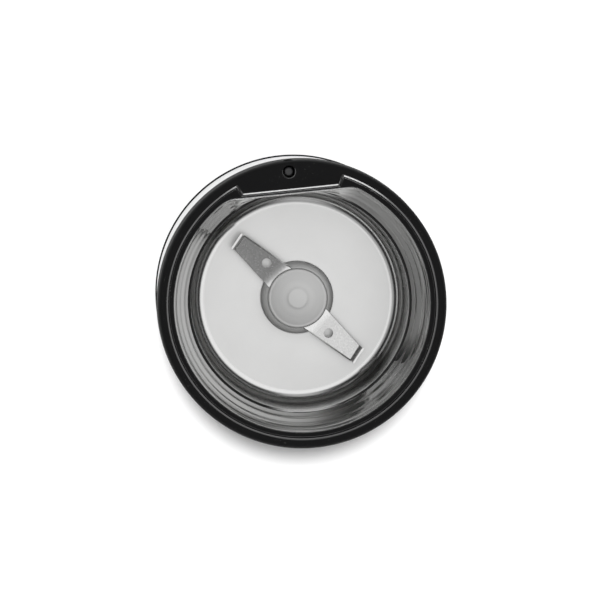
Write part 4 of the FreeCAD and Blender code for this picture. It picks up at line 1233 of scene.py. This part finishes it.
def wing_stations(b):
    """Places, widths and turns along a wing, round its bend and up its ground tip."""
    stations = []
    inner = 1.0 * MM
    for i in range(FLAT_STEPS + 1):
        out = inner + (b.bend - inner) * i / FLAT_STEPS
        share = max(0.0, (out - b.root) / (b.bend - b.root))
        where = Vector((out, b.sweep * share, b.thick / 2))
        width = b.root_w + (b.tip_w - b.root_w) * share
        tilt = -b.pitch * smooth((out - b.root) / b.settle)
        stations.append((where, width, b.turn * share, tilt, 0.0, b.thick))
    bend_r, bend_back = 1.1 * MM, 0.35 * MM
    bend_to = math.pi / 2 - b.lean
    bend_steps = 12
    corner = stations[-1][0] - Vector((bend_back, 0, 0))
    out_dir = bearing(b.turn)
    for i in range(1, bend_steps + 1):
        a = bend_to * i / bend_steps
        where = corner + out_dir * (bend_r * math.sin(a)) + Vector((0, 0, bend_r * (1 - math.cos(a))))
        stations.append((where, b.tip_w, b.turn, -b.pitch, a, b.thick))
    last = stations[-1][0]
    along = out_dir * math.cos(bend_to) + Vector((0, 0, math.sin(bend_to)))
    rise = b.tip_h - bend_r
    burr_high, burr_thick, flared = 0.1 * MM, 0.08 * MM, 0.2 * MM
    tips = ((rise - b.tip_grind, b.thick), (rise - burr_high, b.tip_edge + burr_thick), (rise, b.tip_edge))
    for up, thick in tips:
        stations.append((last + along * up, b.tip_w + flared, b.turn, -b.pitch, bend_to, thick))
    return stations


def add_wing(b, heading, verts, faces, looks):
    """Sweeps the section along the stations of a wing."""
    stations = wing_stations(b)
    start = len(verts)
    for where, width, turn, tilt, bend, thick in stations:
        placed = (Matrix.Rotation(heading, 4, "Z") @ Matrix.Translation(where + Vector((0, 0, BLADE_Z)))
                  @ Matrix.Rotation(turn, 4, "Z") @ Matrix.Rotation(tilt, 4, "X")
                  @ Matrix.Rotation(-bend, 4, "Y"))
        section = wing_section(b, width, thick)
        verts += [placed @ Vector((0, side, height)) for side, height in section]
    count = len(section)
    for step in range(len(stations) - 1):
        a = start + step * count
        for i in range(count):
            j = (i + 1) % count
            faces.append((a + i, a + j, a + j + count, a + i + count))
            looks.append(wing_look(step, i, len(stations) - 3))
    top = range(len(verts) - count, len(verts))
    level_z = sum(verts[i].z for i in top) / count
    for i in top:
        verts[i].z = level_z * b.tip_level + verts[i].z * (1 - b.tip_level)
    faces += [tuple(range(start, start + count))[::-1], tuple(top)]
    looks += [0, 1]


def add_hub(b, verts, faces):
    """Flat round middle of the blade under the cap."""
    top = BLADE_Z + b.thick
    rows = turned((BORE_R, BLADE_Z), (HUB_R, BLADE_Z), (HUB_R, top), (BORE_R, top))
    points, sides = shell(rows, even_directions(64))
    faces += [tuple(len(verts) + i for i in side) for side in sides]
    verts += points


class GRINDER_OT_hub_cap(bpy.types.Operator):
    """Builds the satin domed cap over the blade"""
    bl_idname = "grinder.hub_cap"
    bl_label = "Hub cap"

    def execute(self, context):
        b = context.scene.grinder_blade
        edge = circle(b.cap_r)
        relief, dip_deep = 0.35 * MM, 0.05 * MM
        under_z = CAP_Z + relief
        round_z = CAP_Z + b.cap_edge + 0.2 * MM - b.cap_round
        round_in = b.cap_round * math.cos(math.radians(b.cap_break))
        soft = 0.15 * MM
        rows = turned((0, CAP_Z), (HUB_R, CAP_Z), (HUB_R, under_z))
        rows += arc(edge, -soft, under_z + soft, soft, -90, 0, 3)
        rows += arc(edge, -round_in, round_z, b.cap_round, b.cap_break, 80, 8)
        dome_r = (b.cap_r ** 2 + b.cap_dome ** 2) / (2 * b.cap_dome)
        first = b.cap_r + rows[-1][1]
        steps = 40
        for i in range(1, steps + 1):
            r = first * (1 - i / steps)
            z = high("hub_cap").z - dome_r + math.sqrt(dome_r ** 2 - r ** 2)
            dip = smooth((r - 2.9 * MM) / (0.7 * MM)) * smooth((8.4 * MM - r) / (3 * MM))
            rows += turned((r, max(z - dip_deep * dip, rows[-1][2])))
        return finished(skin("domed_cap", rows, 160), "hub_cap", "satin_aluminium", "rotor")


class GRINDER_OT_stage(bpy.types.Operator):
    """Sets up the floor, the light and the camera"""
    bl_idname = "grinder.stage"
    bl_label = "Stage"

    def execute(self, context):
        stage = context.scene.grinder_stage
        make_floor()
        make_world(stage)
        make_lamp(stage)
        make_camera(stage)
        context.scene.view_settings.view_transform = "Standard"
        return {"FINISHED"}


def make_floor():
    """Pale floor that keeps the shadow, looks white in gloss and is clear to a camera below it."""
    half = 6.0
    corners = [(-half, -half, 0), (half, -half, 0), (half, half, 0), (-half, half, 0)]
    mesh = bpy.data.meshes.new("floor")
    mesh.from_pydata(corners, [], [(0, 1, 2, 3)])
    shade = Shade("pale_floor")
    paint = shade.mix(shade.noise(3.0, 2.0), (0.90, 0.90, 0.90), (0.92, 0.92, 0.92))
    matt = shade.node("ShaderNodeBsdfDiffuse", {"Color": paint})
    camera = shade.node("ShaderNodeLightPath", out="Is Camera Ray")
    seen = (camera + camera.beside("Is Glossy Ray") + camera.beside("Is Transmission Ray")).clamp()
    glow = shade.node("ShaderNodeEmission", {"Color": (1, 1, 1, 1), "Strength": seen * 0.06})
    above = shade.node("ShaderNodeAddShader", {0: matt, 1: glow})
    from_below = camera * shade.node("ShaderNodeNewGeometry", out="Backfacing")
    clear = shade.node("ShaderNodeBsdfTransparent")
    shader = shade.node("ShaderNodeMixShader", {0: from_below, 1: above, 2: clear})
    mesh.materials.append(shade.output(shader))
    linked("floor", mesh)


def make_world(stage):
    """Dark room with a lit ceiling, a softbox, two soft cards, a low strip and a white horizon."""
    sky = Shade("studio", "worlds")
    bpy.context.scene.world = sky.owner
    direction = sky.object.beside("Generated")
    height = sky.node("ShaderNodeSeparateXYZ", {"Vector": direction}, "Z")
    softbox = soft_disc(sky, direction, stage.box_lean, stage.box_side, stage.box_wide, 5)
    ceiling = soft_disc(sky, direction, 0.0, 0.0, stage.ceiling_wide, 4)
    front = soft_disc(sky, direction, stage.strip_lean, stage.roll + math.pi, stage.strip_wide, 10)
    cards = [soft_disc(sky, direction, stage.bounce_lean, stage.roll + turn, stage.bounce_wide, 6)
             for turn in (0.0, math.pi)]
    horizon_low, horizon_high = 0.12, 0.42
    horizon = 1 - sky.between(height, horizon_low, horizon_high)
    strip_z, edge = math.cos(stage.strip_lean), math.sin(stage.strip_high)
    band = (sky.between(height, strip_z - edge, strip_z - edge / 2)
            * (1 - sky.between(height, strip_z + edge / 2, strip_z + edge)))
    lit = ((cards[0] + cards[1]) * stage.bounce_light + softbox * stage.box_light
           + ceiling * stage.ceiling_light + horizon * stage.horizon_light
           + band * front * stage.strip_light + stage.room_light)
    seen = sky.node("ShaderNodeLightPath", out="Is Camera Ray")
    shown = sky.mix(seen, lit, (1.0, 1.0, 1.0))
    background = sky.node("ShaderNodeBackground", {"Color": shown, "Strength": 1.0})
    sky.output(background, "ShaderNodeOutputWorld")


def soft_disc(sky, direction, lean, side, half, edge):
    """1 inside a disc of directions that leans off the axis to a side; its soft edge is in degrees."""
    centre = bearing(side) * math.sin(lean) + Vector((0, 0, math.cos(lean)))
    near = sky.node("ShaderNodeVectorMath", {0: direction, 1: centre}, "Value", operation="DOT_PRODUCT")
    soft = math.radians(edge)
    return sky.between(near, math.cos(half + soft), math.cos(half - soft))


def bearing(turn):
    """Level direction at an angle from +X."""
    return Vector((math.cos(turn), math.sin(turn), 0))


def make_lamp(stage):
    """Overhead lamp for matt surfaces and the soft shadow."""
    data = bpy.data.lights.new("overhead", "SUN")
    data.energy = stage.lamp_power
    data.angle = stage.lamp_size
    lamp = linked("overhead", data)
    lamp.visible_glossy = False
    toward = Vector((0, 0, -1)) - bearing(stage.lamp_side) * math.tan(stage.lamp_lean)
    lamp.rotation_euler = toward.to_track_quat("-Z", "Y").to_euler()
    lamp.location = (0, 0, 1)


def make_camera(stage):
    """Camera nearly over the rim, aimed beside its centre as the photograph is framed."""
    data = bpy.data.cameras.new("camera")
    data.sensor_width = 36.0
    data.lens = data.sensor_width * stage.focal
    data.clip_end = 50.0
    camera = linked("camera", data)
    rim = Vector((0, 0, RIM_Z))
    side = bearing(stage.toward) * math.sin(stage.tilt)
    where = rim + (side + Vector((0, 0, math.cos(stage.tilt)))) * stage.distance
    up_hint = bearing(stage.roll)
    right_hint = Vector((up_hint.y, -up_hint.x, 0))
    aim = rim + right_hint * stage.off_right + up_hint * stage.off_up
    forward = (aim - where).normalized()
    right = forward.cross(up_hint).normalized()
    up = right.cross(forward)
    camera.matrix_world = Matrix.Translation(where) @ Matrix((right, up, -forward)).transposed().to_4x4()
    bpy.context.scene.camera = camera


class GRINDER_PT_panel(bpy.types.Panel):
    """Lists the sizes and the operators"""
    bl_label = "Spice grinder"
    bl_idname = "GRINDER_PT_panel"
    bl_space_type = "VIEW_3D"
    bl_region_type = "UI"
    bl_category = "Grinder"

    def draw(self, context):
        for group, kind in GROUPS.items():
            box = self.layout.box()
            box.label(text=kind.__doc__)
            for key in kind.__annotations__:
                box.prop(getattr(context.scene, group), key)
        for operator in OPERATORS:
            self.layout.operator(operator.bl_idname)


OPERATORS = (
    GRINDER_OT_fittings, GRINDER_OT_collar, GRINDER_OT_interlock_pin, GRINDER_OT_bowl, GRINDER_OT_sleeve,
    GRINDER_OT_base, GRINDER_OT_bottom_cover, GRINDER_OT_feet, GRINDER_OT_screws, GRINDER_OT_cord_inlet,
    GRINDER_OT_blade, GRINDER_OT_hub_cap, GRINDER_OT_stage,
)


def register():
    for kind in (*GROUPS.values(), *OPERATORS, GRINDER_PT_panel):
        bpy.utils.register_class(kind)
    for group, kind in GROUPS.items():
        setattr(bpy.types.Scene, group, PointerProperty(type=kind))


def unregister():
    for group in GROUPS:
        delattr(bpy.types.Scene, group)
    for kind in (GRINDER_PT_panel, *OPERATORS[::-1], *list(GROUPS.values())[::-1]):
        bpy.utils.unregister_class(kind)


def main():
    register()
    for operator in OPERATORS:
        family, name = operator.bl_idname.split(".")
        getattr(getattr(bpy.ops, family), name)()


if __name__ == "__main__":
    main()
